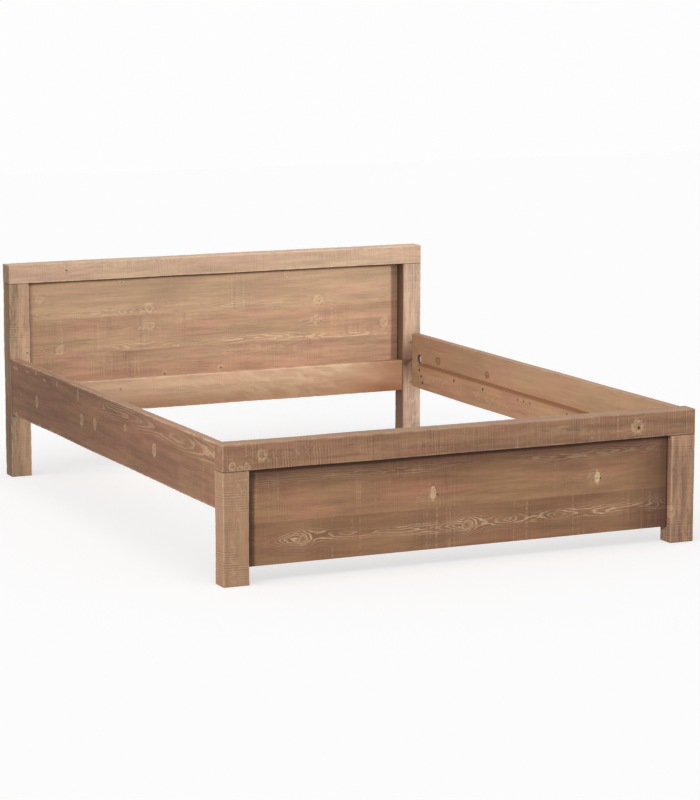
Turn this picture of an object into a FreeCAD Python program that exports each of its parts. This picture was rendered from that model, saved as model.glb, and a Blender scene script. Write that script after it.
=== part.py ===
# Double bed in rough-sawn softwood: a panelled head, a panelled foot and two side rails.
# +X runs across the bed, +Y from the foot to the head and +Z up. The origin is on the floor, under the
# middle of the bed. Every length is in millimetres.
import FreeCAD, Part
import Sketcher
import os
from types import SimpleNamespace

SIZES = {
    # Mattress that the frame is made for, and the room left round it
    "mattress_width": 1600,
    "mattress_length": 2000,
    "mattress_side_gap": 12,
    "mattress_end_gap": 2,
    # Timbers of the frame
    "post_depth": 68,
    "head_height": 796,
    "head_cap_height": 70,
    "head_post_width": 78,
    "foot_height": 450,
    "foot_cap_height": 85,
    "foot_leg_width": 88,
    "rail_thickness": 33,
    "rail_height": 208,
    "rail_setback": 5,
    "rail_drop": 4,
    "edge_easing": 1.5,
    # Panels and the grooves that hold them
    "head_panel_setback": 8,
    "head_panel_thickness": 16,
    "foot_panel_recess": 28,
    "foot_panel_thickness": 20,
    "foot_panel_floor_gap": 53,
    "panel_seat_depth": 10,
    "panel_end_gap": 2,
    "panel_groove_gap": 0.3,
    "board_tongue_thickness": 6,
    "board_tongue_length": 8,
    "board_tongue_gap": 0.3,
    # Crossrail and ledges that carry the slats
    "crossrail_height": 120,
    "crossrail_tenon_length": 34,
    "crossrail_tenon_thickness": 20,
    "crossrail_tenon_shoulder": 20,
    "crossrail_tenon_setback": 12,
    "tenon_gap": 0.2,
    "ledge_thickness": 35,
    "ledge_height": 95,
    "ledge_rise": 10,
    "ledge_end_gap": 122,
    # Holes for a middle beam's bracket, in the face of each ledge
    "beam_hole_diameter": 5,
    "beam_hole_depth": 25,
    "beam_hole_pitch": 48,
    "beam_hole_drop": 20,
    # Countersunk screws
    "screw_shank_diameter": 4.5,
    "screw_head_diameter": 9,
    "screw_head_height": 2.6,
    "screw_socket_width": 3,
    "screw_socket_depth": 2,
    "screw_sink": 1.5,
    "screw_gap": 0.1,
    "ledge_screw_length": 52,
    "ledge_screw_drop": 22,
    "ledge_end_screw_inset": 16,
    "ledge_end_screw_step": 14,
    "ledge_end_screw_pitch": 23,
    "panel_screw_length": 45,
    "panel_screw_inset": 112,
    # Stud, half-moon washer and nut at each end of a side rail
    "stud_diameter": 8,
    "stud_post_depth": 45,
    "stud_tip": 3,
    "stud_gap": 0.1,
    "head_stud_drop": 93,
    "pocket_diameter": 35,
    "pocket_floor_gap": 1,
    "pocket_end_distance": 70,
    "washer_thickness": 7.5,
    "washer_margin": 0.5,
    "washer_gap": 0.2,
    "nut_across_flats": 13,
    "nut_height": 6.5,
    # Dowels
    "cap_dowel_diameter": 12,
    "cap_dowel_depth": 34,
    "cap_dowel_spread": 36,
    "rail_dowel_diameter": 10,
    "rail_dowel_depth": 30,
    "rail_dowel_inset": 25,
    "dowel_gap": 0.1,
    "dowel_end_gap": 1,
    # How far a cutting shape runs past the face that it cuts through
    "cut_overrun": 5,
}

# Boards of the panels, from the lowest up, and their widths as shares of the panel's height
HEAD_BOARDS = ("lowest", "lower", "upper", "top")
HEAD_BOARD_SHARES = (0.215, 0.215, 0.26, 0.31)
FOOT_BOARDS = ("lower", "upper")
FOOT_BOARD_SHARES = (0.42, 0.58)

# Places of the single ledge screws, from the middle of the ledge to its end
LEDGE_SCREW_SHARES = (0.37, 0.64)

END_SCREWS = 3
PANEL_SCREWS = 5
BEAM_HOLES = 3
SIDES = ("left", "right")
DIRECTIONS = {
    "+X": FreeCAD.Vector(1, 0, 0),
    "-X": FreeCAD.Vector(-1, 0, 0),
    "+Y": FreeCAD.Vector(0, 1, 0),
    "-Y": FreeCAD.Vector(0, -1, 0),
    "+Z": FreeCAD.Vector(0, 0, 1),
}
OUTWARD = {"left": "-X", "right": "+X"}

doc = FreeCAD.newDocument("double_bed")
size = SimpleNamespace(**{name: f"sizes.{name}" for name in SIZES})

# Sizes worked out from the sheet, as expressions
inner_width = f"({size.mattress_width} + 2 * {size.mattress_side_gap})"
overall_width = f"({inner_width} + 2 * {size.rail_thickness} + 2 * {size.rail_setback})"
half_width = f"({overall_width} / 2)"
inner_length = f"({size.mattress_length} + 2 * {size.mattress_end_gap})"
half_inner_length = f"({inner_length} / 2)"
rail_top = f"({size.foot_height} - {size.rail_drop})"
rail_bottom = f"({rail_top} - {size.rail_height})"
low_dowel_level = f"({rail_bottom} + {size.rail_dowel_inset})"
high_dowel_level = f"({rail_top} - {size.rail_dowel_inset})"
rail_middle = f"({size.rail_setback} + {size.rail_thickness} / 2)"
rail_inner_face = f"({size.rail_setback} + {size.rail_thickness})"
ledge_inner_face = f"({rail_inner_face} + {size.ledge_thickness})"
ledge_half_length = f"({half_inner_length} - {size.ledge_end_gap})"
slat_level = f"({rail_bottom} + {size.ledge_rise} + {size.ledge_height})"
panel_groove_depth = f"({size.panel_seat_depth} + {size.panel_end_gap})"
head_panel_recess = f"({size.post_depth} - {size.head_panel_setback} - {size.head_panel_thickness})"
crossrail_length = f"({overall_width} - 2 * {size.head_post_width})"
head_shoulder = f"({size.head_height} - {size.head_cap_height})"
foot_shoulder = f"({size.foot_height} - {size.foot_cap_height})"
nut_corner_radius = f"({size.nut_across_flats} / sqrt(3))"
washer_height = f"({size.nut_across_flats} + 2 * {size.washer_margin})"
pocket_depth = f"({size.rail_thickness} / 2 + {nut_corner_radius} + {size.pocket_floor_gap})"
pocket_radius = f"({size.pocket_diameter} / 2)"
pocket_wall = f"({size.pocket_end_distance} - {pocket_radius})"
nut_seat = f"({pocket_wall} + {size.washer_thickness})"
stud_rail_reach = f"({nut_seat} + {size.nut_height} + {size.stud_tip})"
stud_bore_radius = f"({size.stud_diameter} / 2 + {size.stud_gap})"

head = SimpleNamespace(
    name="head",
    upright="post",
    boards=dict(zip(HEAD_BOARDS, HEAD_BOARD_SHARES)),
    upright_width=size.head_post_width,
    top=size.head_height,
    cap_height=size.head_cap_height,
    shoulder=head_shoulder,
    front=half_inner_length,
    panel_front=f"({half_inner_length} + {head_panel_recess})",
    panel_thickness=size.head_panel_thickness,
    panel_bottom=f"({slat_level} - {size.crossrail_height})",
    stud_level=f"({rail_top} - {size.head_stud_drop})",
)
foot_front = f"(-{half_inner_length} - {size.post_depth})"
foot = SimpleNamespace(
    name="foot",
    upright="leg",
    boards=dict(zip(FOOT_BOARDS, FOOT_BOARD_SHARES)),
    upright_width=size.foot_leg_width,
    top=size.foot_height,
    cap_height=size.foot_cap_height,
    shoulder=foot_shoulder,
    front=foot_front,
    panel_front=f"({foot_front} + {size.foot_panel_recess})",
    panel_thickness=size.foot_panel_thickness,
    panel_bottom=size.foot_panel_floor_gap,
    # Halfway between the rail's low dowel and the lower ends of the cap's dowels
    stud_level=f"(({low_dowel_level} + {foot_shoulder} - {size.cap_dowel_depth}) / 2)",
)
ENDS = (head, foot)


def make_sheet():
    """Write the driving sizes into the document's sheet, one named cell each."""
    sheet = doc.addObject("Spreadsheet::Sheet", "sizes")
    for row, (name, value) in enumerate(SIZES.items(), start=1):
        sheet.set(f"A{row}", name)
        sheet.set(f"B{row}", str(value))
        sheet.setAlias(f"B{row}", name)
    doc.recompute()


def bind(thing, **expressions):
    """Tie an object's sizes to expressions."""
    for name, text in expressions.items():
        thing.setExpression(name, text)


def place(thing, point):
    """Tie an object's position to three expressions."""
    for axis, text in zip("xyz", point):
        thing.setExpression(f"Placement.Base.{axis}", text)


def inward(side, distance, width="0"):
    """Lowest x of something this wide whose outer face is this far in from the side of the bed."""
    if side == "left":
        return f"({distance} - {half_width})"
    return f"({half_width} - {distance} - {width})"


def into_rail(end, distance, length="0"):
    """Lowest y of something this long that starts this far from the rail's end, measured into the rail."""
    if end is head:
        return f"({half_inner_length} - {distance} - {length})"
    return f"({distance} - {half_inner_length})"


def block(name, low, lengths):
    """A rectangular solid from its lowest corner and its three lengths."""
    solid = doc.addObject("Part::Box", name)
    bind(solid, Length=lengths[0], Width=lengths[1], Height=lengths[2])
    place(solid, low)
    return solid


def aim(solid, start, direction):
    """Turn a solid's own +Z to a direction and set its base at start."""
    turn = FreeCAD.Rotation(DIRECTIONS["+Z"], DIRECTIONS[direction])
    solid.Placement = FreeCAD.Placement(FreeCAD.Vector(), turn)
    place(solid, start)
    return solid


def rod(name, start, direction, radius, length):
    """A round solid that runs from start in a direction."""
    solid = doc.addObject("Part::Cylinder", name)
    bind(solid, Radius=radius, Height=length)
    return aim(solid, start, direction)


def taper(name, start, direction, radius, far_radius, length):
    """A cone that narrows from start in a direction."""
    solid = doc.addObject("Part::Cone", name)
    bind(solid, Radius1=radius, Radius2=far_radius, Height=length)
    return aim(solid, start, direction)


def hexagon(name, start, direction, across_flats, length):
    """A six-sided bar that runs from start in a direction."""
    solid = doc.addObject("Part::Prism", name)
    solid.Polygon = 6
    bind(solid, Circumradius=f"{across_flats} / sqrt(3)", Height=length)
    return aim(solid, start, direction)


def rectangle(sketch, across, along):
    """Draw a rectangle with one corner on the sketch's origin and its two sides tied to expressions."""
    corners = [FreeCAD.Vector(x, y, 0) for x, y in ((0, 0), (1, 0), (1, 1), (0, 1))]
    sides = len(corners)
    for line in range(sides):
        sketch.addGeometry(Part.LineSegment(corners[line], corners[(line + 1) % sides]), False)
    for line in range(sides):
        sketch.addConstraint(Sketcher.Constraint("Coincident", line, 2, (line + 1) % sides, 1))
        sketch.addConstraint(Sketcher.Constraint("Vertical" if line % 2 else "Horizontal", line))
    sketch.addConstraint(Sketcher.Constraint("Coincident", 0, 1, -1, 1))
    for name, kind, line, text in (("across", "DistanceX", 0, across), ("along", "DistanceY", 1, along)):
        number = sketch.addConstraint(Sketcher.Constraint(kind, line, 1, line, 2, 1))
        sketch.renameConstraint(number, name)
        sketch.setExpression(f"Constraints.{name}", text)


def timber(name, low, lengths):
    """A sawn timber: a padded rectangle with every edge eased, from its lowest corner and its lengths."""
    body = doc.addObject("PartDesign::Body", f"{name}_timber")
    plane = next(part for part in body.Origin.OriginFeatures if part.Role == "XY_Plane")
    sketch = body.newObject("Sketcher::SketchObject", f"{name}_section")
    sketch.AttachmentSupport = [(plane, "")]
    sketch.MapMode = "FlatFace"
    rectangle(sketch, lengths[0], lengths[1])
    pad = body.newObject("PartDesign::Pad", f"{name}_pad")
    pad.Profile = sketch
    bind(pad, Length=lengths[2])
    doc.recompute()
    easing = body.newObject("PartDesign::Chamfer", f"{name}_easing")
    easing.Base = (pad, [f"Edge{number}" for number in range(1, len(pad.Shape.Edges) + 1)])
    bind(easing, Size=size.edge_easing)
    place(body, low)
    return body


def join(name, solids):
    """One solid made of several that meet."""
    joined = doc.addObject("Part::MultiFuse", name)
    joined.Shapes = solids
    return joined


def carve(name, blank, cutters):
    """A blank with one or more shapes cut out of it."""
    piece = doc.addObject("Part::Cut", name)
    piece.Base = blank
    piece.Tool = cutters[0] if len(cutters) == 1 else join(f"{name}_cutters", cutters)
    return piece


def group(name, solids):
    """Identical fasteners kept together as separate solids."""
    together = doc.addObject("Part::Compound", name)
    together.Links = solids
    return together


def cap_dowel_places(end):
    """Names and x, y of the dowels that stand in the tops of an end's two uprights."""
    y = f"({end.front} + {size.post_depth} / 2)"
    for side in SIDES:
        for name, offset in (("outer", f"-{size.cap_dowel_spread}"), ("inner", size.cap_dowel_spread)):
            yield f"{side}_{name}", inward(side, f"({end.upright_width} / 2 + {offset} / 2)"), y


def cap_dowel_holes(end, name, chosen):
    """Holes through the joint between cap and upright, for the dowels whose names start as chosen."""
    length = f"(2 * {size.cap_dowel_depth} + 2 * {size.dowel_end_gap})"
    radius = f"({size.cap_dowel_diameter} / 2 + {size.dowel_gap})"
    z = f"({end.shoulder} - {length} / 2)"
    return [
        rod(f"{name}_{dowel}_dowel_hole", (x, y, z), "+Z", radius, length)
        for dowel, x, y in cap_dowel_places(end)
        if dowel.startswith(chosen)
    ]


def cap_dowels(end):
    """The dowels between an end's cap and its uprights."""
    z = f"({end.shoulder} - {size.cap_dowel_depth})"
    length = f"(2 * {size.cap_dowel_depth})"
    radius = f"({size.cap_dowel_diameter} / 2)"
    solids = [
        rod(f"{end.name}_{dowel}_dowel", (x, y, z), "+Z", radius, length)
        for dowel, x, y in cap_dowel_places(end)
    ]
    return group(f"{end.name}_cap_dowels", solids)


def rail_dowel_levels():
    """Names and heights of the two dowels in each end of a side rail."""
    return {"high": high_dowel_level, "low": low_dowel_level}


def rail_dowel_hole(name, side, end, level):
    """A hole across the joint between a rail and an upright, for one dowel."""
    depth = f"({size.rail_dowel_depth} + {size.dowel_end_gap})"
    length = f"(2 * {depth})"
    start = (inward(side, rail_middle), into_rail(end, f"(-{depth})", length), level)
    radius = f"({size.rail_dowel_diameter} / 2 + {size.dowel_gap})"
    return rod(name, start, "+Y", radius, length)


def rail_dowels():
    """The dowels in the four rail ends."""
    length = f"(2 * {size.rail_dowel_depth})"
    solids = []
    for side in SIDES:
        for end in ENDS:
            y = into_rail(end, f"(-{size.rail_dowel_depth})", length)
            for name, level in rail_dowel_levels().items():
                start = (inward(side, rail_middle), y, level)
                label = f"{end.name}_{side}_{name}_rail_dowel"
                solids.append(rod(label, start, "+Y", f"({size.rail_dowel_diameter} / 2)", length))
    return group("rail_dowels", solids)


def stud_hole(name, side, end):
    """The hole for a stud, from its seat in the upright to the pocket in the rail."""
    length = f"({size.stud_post_depth} + {size.pocket_end_distance})"
    start = (inward(side, rail_middle), into_rail(end, f"(-{size.stud_post_depth})", length), end.stud_level)
    return rod(name, start, "+Y", stud_bore_radius, length)


def panel_groove(name, side, end):
    """The groove in an upright that takes the panel's end; it stops at the panel's lower edge."""
    depth = f"({panel_groove_depth} + {size.cut_overrun})"
    reach = f"({end.upright_width} - {panel_groove_depth})"
    low = (inward(side, reach, depth), f"({end.panel_front} - {size.panel_groove_gap})", end.panel_bottom)
    thickness = f"({end.panel_thickness} + 2 * {size.panel_groove_gap})"
    height = f"({end.shoulder} - {end.panel_bottom} + {size.cut_overrun})"
    return block(name, low, (depth, thickness, height))


def crossrail_tenon(name, side, gap):
    """The tenon on one end of the crossrail, or, with a gap round it, the mortise that takes it."""
    reach = f"({size.head_post_width} - {size.crossrail_tenon_length} - {gap})"
    length = f"({size.crossrail_tenon_length} + {gap})"
    bottom = f"({head.panel_bottom} + {size.crossrail_tenon_shoulder} - {gap})"
    height = f"({size.crossrail_height} - 2 * {size.crossrail_tenon_shoulder} + 2 * {gap})"
    low = (inward(side, reach, length), f"({head.front} + {size.crossrail_tenon_setback} - {gap})", bottom)
    return block(name, low, (length, f"({size.crossrail_tenon_thickness} + 2 * {gap})", height))


def upright(end, side):
    """A head post or a foot leg, grooved for the panel and bored for its rail and cap."""
    name = f"{end.name}_{end.upright}_{side}"
    low = (inward(side, "0", end.upright_width), end.front, "0")
    blank = timber(name, low, (end.upright_width, size.post_depth, end.shoulder))
    cutters = [panel_groove(f"{name}_groove", side, end), stud_hole(f"{name}_stud_hole", side, end)]
    cutters += cap_dowel_holes(end, name, side)
    levels = rail_dowel_levels()
    if end is head:
        cutters.append(crossrail_tenon(f"{name}_mortise", side, size.tenon_gap))
        cutters.append(rail_dowel_hole(f"{name}_high_dowel_hole", side, end, levels["high"]))
    cutters.append(rail_dowel_hole(f"{name}_low_dowel_hole", side, end, levels["low"]))
    return carve(name, blank, cutters)


def cap(end):
    """The timber across the tops of an end's uprights, grooved below for the panel."""
    name = f"{end.name}_cap"
    low = (f"(-{half_width})", end.front, end.shoulder)
    blank = timber(name, low, (overall_width, size.post_depth, end.cap_height))
    width = f"({overall_width} - 2 * {end.upright_width} + 2 * {panel_groove_depth})"
    depth = f"({panel_groove_depth} + {size.cut_overrun})"
    thickness = f"({end.panel_thickness} + 2 * {size.panel_groove_gap})"
    groove_low = (
        f"(-{width} / 2)",
        f"({end.panel_front} - {size.panel_groove_gap})",
        f"({end.shoulder} - {size.cut_overrun})",
    )
    cutters = [block(f"{name}_groove", groove_low, (width, thickness, depth))]
    cutters += cap_dowel_holes(end, name, SIDES)
    if end is foot:
        level = rail_dowel_levels()["high"]
        cutters += [rail_dowel_hole(f"{name}_{side}_rail_dowel_hole", side, end, level) for side in SIDES]
    return carve(name, blank, cutters)


def board(end, name, bottom, height, tongued, grooved, holes):
    """One board of a panel, with a tongue on its upper edge and a groove in its lower edge."""
    width = f"({overall_width} - 2 * {end.upright_width} + 2 * {size.panel_seat_depth})"
    left = f"(-{width} / 2)"
    middle = f"({end.panel_front} + {end.panel_thickness} / 2)"
    solid = block(f"{name}_plank", (left, end.panel_front, bottom), (width, end.panel_thickness, height))
    if tongued:
        low = (left, f"({middle} - {size.board_tongue_thickness} / 2)", f"({bottom} + {height})")
        lengths = (width, size.board_tongue_thickness, size.board_tongue_length)
        solid = join(f"{name}_tongued", [solid, block(f"{name}_tongue", low, lengths)])
    cutters = list(holes)
    if grooved:
        thickness = f"({size.board_tongue_thickness} + 2 * {size.board_tongue_gap})"
        depth = f"({size.board_tongue_length} + {size.board_tongue_gap} + {size.cut_overrun})"
        low = (
            f"({left} - {size.cut_overrun})",
            f"({middle} - {thickness} / 2)",
            f"({bottom} - {size.cut_overrun})",
        )
        lengths = (f"({width} + 2 * {size.cut_overrun})", thickness, depth)
        cutters.append(block(f"{name}_groove", low, lengths))
    if cutters:
        return carve(name, solid, cutters)
    solid.Label = name
    return solid


def panel(end, lowest_holes):
    """The boards of an end's panel, from the lowest up; the lowest may have screw holes."""
    total = f"({end.shoulder} + {size.panel_seat_depth} - {end.panel_bottom})"
    bottom = end.panel_bottom
    names = list(end.boards)
    boards = []
    for name, share in end.boards.items():
        height = f"({share} * {total})"
        lowest = name == names[0]
        top = name == names[-1]
        holes = lowest_holes if lowest else []
        boards.append(board(end, f"{end.name}_board_{name}", bottom, height, not top, not lowest, holes))
        bottom = f"({bottom} + {height})"
    return boards


def crossrail(holes):
    """The rail in front of the foot of the head panel, tenoned into the posts."""
    name = "head_crossrail"
    low = (f"(-{crossrail_length} / 2)", head.front, head.panel_bottom)
    blank = timber(name, low, (crossrail_length, head_panel_recess, size.crossrail_height))
    tenons = [crossrail_tenon(f"{name}_{side}_tenon", side, "0") for side in SIDES]
    return carve(name, join(f"{name}_tenoned", [blank] + tenons), holes)


def side_rail(side, screw_holes):
    """A side rail, with a bored pocket near each end for the stud's nut."""
    name = f"side_rail_{side}"
    low = (inward(side, size.rail_setback, size.rail_thickness), f"(-{half_inner_length})", rail_bottom)
    blank = timber(name, low, (size.rail_thickness, inner_length, size.rail_height))
    cutters = list(screw_holes)
    for end in ENDS:
        mouth = inward(side, f"({rail_inner_face} + {size.cut_overrun})")
        start = (mouth, into_rail(end, size.pocket_end_distance), end.stud_level)
        depth = f"({pocket_depth} + {size.cut_overrun})"
        cutters.append(rod(f"{name}_{end.name}_pocket", start, OUTWARD[side], pocket_radius, depth))
        cutters.append(stud_hole(f"{name}_{end.name}_stud_hole", side, end))
        for level_name, level in rail_dowel_levels().items():
            cutters.append(rail_dowel_hole(f"{name}_{end.name}_{level_name}_hole", side, end, level))
    return carve(name, blank, cutters)


def beam_holes(side):
    """The row of holes in a ledge's face, about its middle, that take a middle beam's bracket."""
    mouth = inward(side, f"({ledge_inner_face} + {size.cut_overrun})")
    level = f"({slat_level} - {size.beam_hole_drop})"
    depth = f"({size.beam_hole_depth} + {size.cut_overrun})"
    radius = f"({size.beam_hole_diameter} / 2)"
    return [
        rod(
            f"beam_hole_{side}_{number}",
            (mouth, f"(({number} - ({BEAM_HOLES} - 1) / 2) * {size.beam_hole_pitch})", level),
            OUTWARD[side],
            radius,
            depth,
        )
        for number in range(BEAM_HOLES)
    ]


def slat_ledge(side, screw_holes):
    """The batten on the inside of a side rail that carries the slats."""
    name = f"slat_ledge_{side}"
    low = (
        inward(side, rail_inner_face, size.ledge_thickness),
        f"(-{ledge_half_length})",
        f"({rail_bottom} + {size.ledge_rise})",
    )
    blank = timber(name, low, (size.ledge_thickness, f"(2 * {ledge_half_length})", size.ledge_height))
    return carve(name, blank, list(screw_holes) + beam_holes(side))


def ledge_screw_places():
    """The y and z of a ledge's screws: a slanting row near each end, and single ones between."""
    level = f"({slat_level} - {size.ledge_screw_drop})"
    places = []
    for sign in ("-", ""):
        for number in range(END_SCREWS):
            run = f"({size.ledge_end_screw_inset} + {number} * {size.ledge_end_screw_step})"
            drop = f"{number} * {size.ledge_end_screw_pitch}"
            places.append((f"({sign}({ledge_half_length} - {run}))", f"({level} - {drop})"))
        for share in LEDGE_SCREW_SHARES:
            places.append((f"({sign}{share} * {ledge_half_length})", level))
    return places


def ledge_screw_heads(side):
    """Where each of a ledge's screws has its sunk head, in the ledge's inner face."""
    sunk = inward(side, f"({ledge_inner_face} - {size.screw_sink})")
    return [(sunk, y, z) for y, z in ledge_screw_places()]


def panel_screw_heads():
    """Where each screw through the lowest head board has its sunk head, evenly spread along the crossrail."""
    back = f"({head.panel_front} + {head.panel_thickness} - {size.screw_sink})"
    level = f"({head.panel_bottom} + {size.crossrail_height} / 2)"
    pitch = f"(({crossrail_length} - 2 * {size.panel_screw_inset}) / ({PANEL_SCREWS} - 1))"
    return [
        (f"(({number} - ({PANEL_SCREWS} - 1) / 2) * {pitch})", back, level)
        for number in range(PANEL_SCREWS)
    ]


def screw(name, start, direction, length):
    """A countersunk screw with a six-sided socket, from the middle of its head in a direction."""
    shank_radius = f"({size.screw_shank_diameter} / 2)"
    head_radius = f"({size.screw_head_diameter} / 2)"
    shank = rod(f"{name}_shank", start, direction, shank_radius, length)
    flare = taper(f"{name}_flare", start, direction, head_radius, shank_radius, size.screw_head_height)
    socket = hexagon(f"{name}_socket", start, direction, size.screw_socket_width, size.screw_socket_depth)
    return carve(name, join(f"{name}_solid", [shank, flare]), [socket])


def screw_hole(name, start, direction, length):
    """The hole that a screw sits in: its shank, its countersink and the sunk mouth above its head."""
    shank_radius = f"({size.screw_shank_diameter} / 2 + {size.screw_gap})"
    mouth_radius = f"({size.screw_head_diameter} / 2 + {size.screw_gap})"
    away = {"-X": "+X", "+X": "-X", "-Y": "+Y"}[direction]
    shank = rod(f"{name}_bore", start, direction, shank_radius, f"({length} + {size.dowel_end_gap})")
    flare = taper(f"{name}_countersink", start, direction, mouth_radius, shank_radius, size.screw_head_height)
    mouth = rod(f"{name}_mouth", start, away, mouth_radius, f"({size.screw_sink} + {size.cut_overrun})")
    return join(name, [shank, flare, mouth])


def screw_set(name, heads, direction, length):
    """A group of like screws and the holes that they sit in."""
    screws = []
    holes = []
    for number, start in enumerate(heads, start=1):
        screws.append(screw(f"{name}_{number}", start, direction, length))
        holes.append(screw_hole(f"{name}_{number}_hole", start, direction, length))
    return group(name, screws), holes


def fitting(side, end):
    """The stud, half-moon washer and nut that hold one rail end."""
    name = f"{end.name}_{side}"
    x = inward(side, rail_middle)
    level = end.stud_level
    length = f"({size.stud_post_depth} + {stud_rail_reach})"
    start = (x, into_rail(end, f"(-{size.stud_post_depth})", length), level)
    stud = rod(f"{name}_stud", start, "+Y", f"({size.stud_diameter} / 2)", length)

    bore_start = (x, into_rail(end, pocket_wall, size.pocket_diameter), level)
    bore = rod(f"{name}_bore", bore_start, "+Y", stud_bore_radius, size.pocket_diameter)

    washer_radius = f"({pocket_radius} - {size.washer_gap})"
    drum_x = f"({x} - {washer_height} / 2)"
    drum_start = (drum_x, into_rail(end, size.pocket_end_distance), level)
    drum = rod(f"{name}_washer_drum", drum_start, "+X", washer_radius, washer_height)
    slice_low = (drum_x, into_rail(end, pocket_wall, size.washer_thickness), f"({level} - {pocket_radius})")
    slice_lengths = (washer_height, size.washer_thickness, size.pocket_diameter)
    half_moon = doc.addObject("Part::Common", f"{name}_half_moon")
    half_moon.Base = drum
    half_moon.Tool = block(f"{name}_washer_slice", slice_low, slice_lengths)
    washer = carve(f"{name}_washer", half_moon, [bore])

    nut_start = (x, into_rail(end, nut_seat, size.nut_height), level)
    nut_blank = hexagon(f"{name}_nut_blank", nut_start, "+Y", size.nut_across_flats, size.nut_height)
    nut = carve(f"{name}_nut", nut_blank, [bore])
    return stud, washer, nut


def fittings():
    """The four rail-end fittings, sorted into studs, washers and nuts."""
    corners = [fitting(side, end) for side in SIDES for end in ENDS]
    names = ("bed_studs", "bed_washers", "bed_nuts")
    return [group(name, list(solids)) for name, solids in zip(names, zip(*corners))]


def build():
    """Make every piece of the bed and return them all."""
    pieces = []
    heads = panel_screw_heads()
    panel_screws, panel_holes = screw_set("head_panel_screws", heads, "-Y", size.panel_screw_length)
    pieces.append(panel_screws)
    pieces.append(crossrail(panel_holes))
    pieces += panel(head, panel_holes)
    pieces += panel(foot, [])
    for end in ENDS:
        pieces.append(cap(end))
        pieces.append(cap_dowels(end))
        pieces += [upright(end, side) for side in SIDES]
    for side in SIDES:
        heads = ledge_screw_heads(side)
        screws, holes = screw_set(f"ledge_screws_{side}", heads, OUTWARD[side], size.ledge_screw_length)
        pieces += [screws, side_rail(side, holes), slat_ledge(side, holes)]
    pieces.append(rail_dowels())
    pieces += fittings()
    return pieces


def check(pieces):
    """Stop unless every object was worked out and every piece is a sound solid."""
    for thing in doc.Objects:
        if {"Invalid", "Error"} & set(thing.State):
            raise RuntimeError(f"{thing.Label} failed: {thing.State}")
    for piece in pieces:
        shape = piece.Shape
        if shape.isNull() or not shape.isValid() or not shape.Solids:
            raise RuntimeError(f"{piece.Label} is not a sound solid")


def write(pieces):
    """Write each piece to a file that has its name."""
    os.makedirs("parts", exist_ok=True)
    for piece in sorted(pieces, key=lambda piece: piece.Label):
        piece.Shape.exportStep(f"parts/{piece.Label}.step")
        print(f"{piece.Label}: {len(piece.Shape.Solids)} solids, {piece.Shape.Volume / 1000:.1f} cm3")


make_sheet()
bed = build()
doc.recompute()
check(bed)
write(bed)
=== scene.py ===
"""Looks of a double bed in rough-sawn, brown-stained softwood.

Each timber is a closed surface on a grid: an eased section carried along the timber, with saw marks, worn
edges, grooves and bored holes worked into it. The growth rings and knots are worked out at the same points
and kept as attributes, so that the grain runs through the wood and agrees on every face. Lengths are in
metres.
"""
import math
from types import SimpleNamespace

import bpy
import numpy as np
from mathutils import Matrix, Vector


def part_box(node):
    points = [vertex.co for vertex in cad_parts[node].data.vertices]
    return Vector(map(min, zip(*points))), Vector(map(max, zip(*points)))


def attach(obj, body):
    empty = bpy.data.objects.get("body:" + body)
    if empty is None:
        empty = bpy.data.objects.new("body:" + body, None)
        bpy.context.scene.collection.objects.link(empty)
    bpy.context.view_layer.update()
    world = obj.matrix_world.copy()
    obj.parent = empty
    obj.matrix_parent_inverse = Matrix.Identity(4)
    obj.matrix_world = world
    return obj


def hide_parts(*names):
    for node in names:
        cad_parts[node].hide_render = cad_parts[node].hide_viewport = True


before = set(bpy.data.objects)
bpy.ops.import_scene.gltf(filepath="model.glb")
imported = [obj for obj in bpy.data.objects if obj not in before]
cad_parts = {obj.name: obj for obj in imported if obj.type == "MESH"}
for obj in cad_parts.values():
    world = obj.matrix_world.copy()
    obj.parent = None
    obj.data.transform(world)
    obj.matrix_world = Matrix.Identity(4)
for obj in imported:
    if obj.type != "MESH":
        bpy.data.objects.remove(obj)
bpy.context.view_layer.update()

# Camera, fitted to the bed's corners in the photograph
IMAGE_HEIGHT = 800
FOCAL_PIXELS = 2950
SENSOR = 36
CAMERA_PLACE = (-4.263, -9.379, 2.029)
CAMERA_TURN = 24.84
CAMERA_DIP = 9.09

# Fineness of the timbers' surfaces
FACE_STEP = 0.0045
CROWDED_PARTS = 3
CORNER_PARTS = 4
END_RINGS = 9
END_ROUNDING_SHARE = 0.8
CREASE = 0.0003
FINEST_PLACES = 5
TINY = 1e-9

# Relief left by the saw, by wear and by drying. A slant is how much of a place across and through the timber
# is added to the place along it.
SAW_MARK_DEPTH = 0.00022
SAW_MARK_PITCH = 0.0080
SAW_MARK_PARTS = 6
SAW_MARK_SPREAD = 0.3
SAW_MARK_SLANT = (0.05, 0.09)
SAW_SWELL_PITCH = 0.16
SAW_SWELL_SLANT = 0.8
SAW_SWELL_MEAN = 0.8
SAW_SWELL_RISE = 0.3
SAW_SWELL_LIMITS = (0.2, 1.2)
EDGE_WEAR = 0.0007
EDGE_WEAR_REACH = 0.004
EDGE_WEAR_PITCH = 0.05
EDGE_WEAR_PARTS = 6
EDGE_WEAR_SLANT = (3, 5)
BOW_PITCH = 0.6

# Bored holes: grid lines of the floor and the edge of the patch about it, as shares of the radius, then the
# width of the dark rim
HOLE_FLOOR_SHARES = (0.4, 0.8, 1)
HOLE_PATCH_SHARE = 1.7
HOLE_RIM = 0.002

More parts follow.
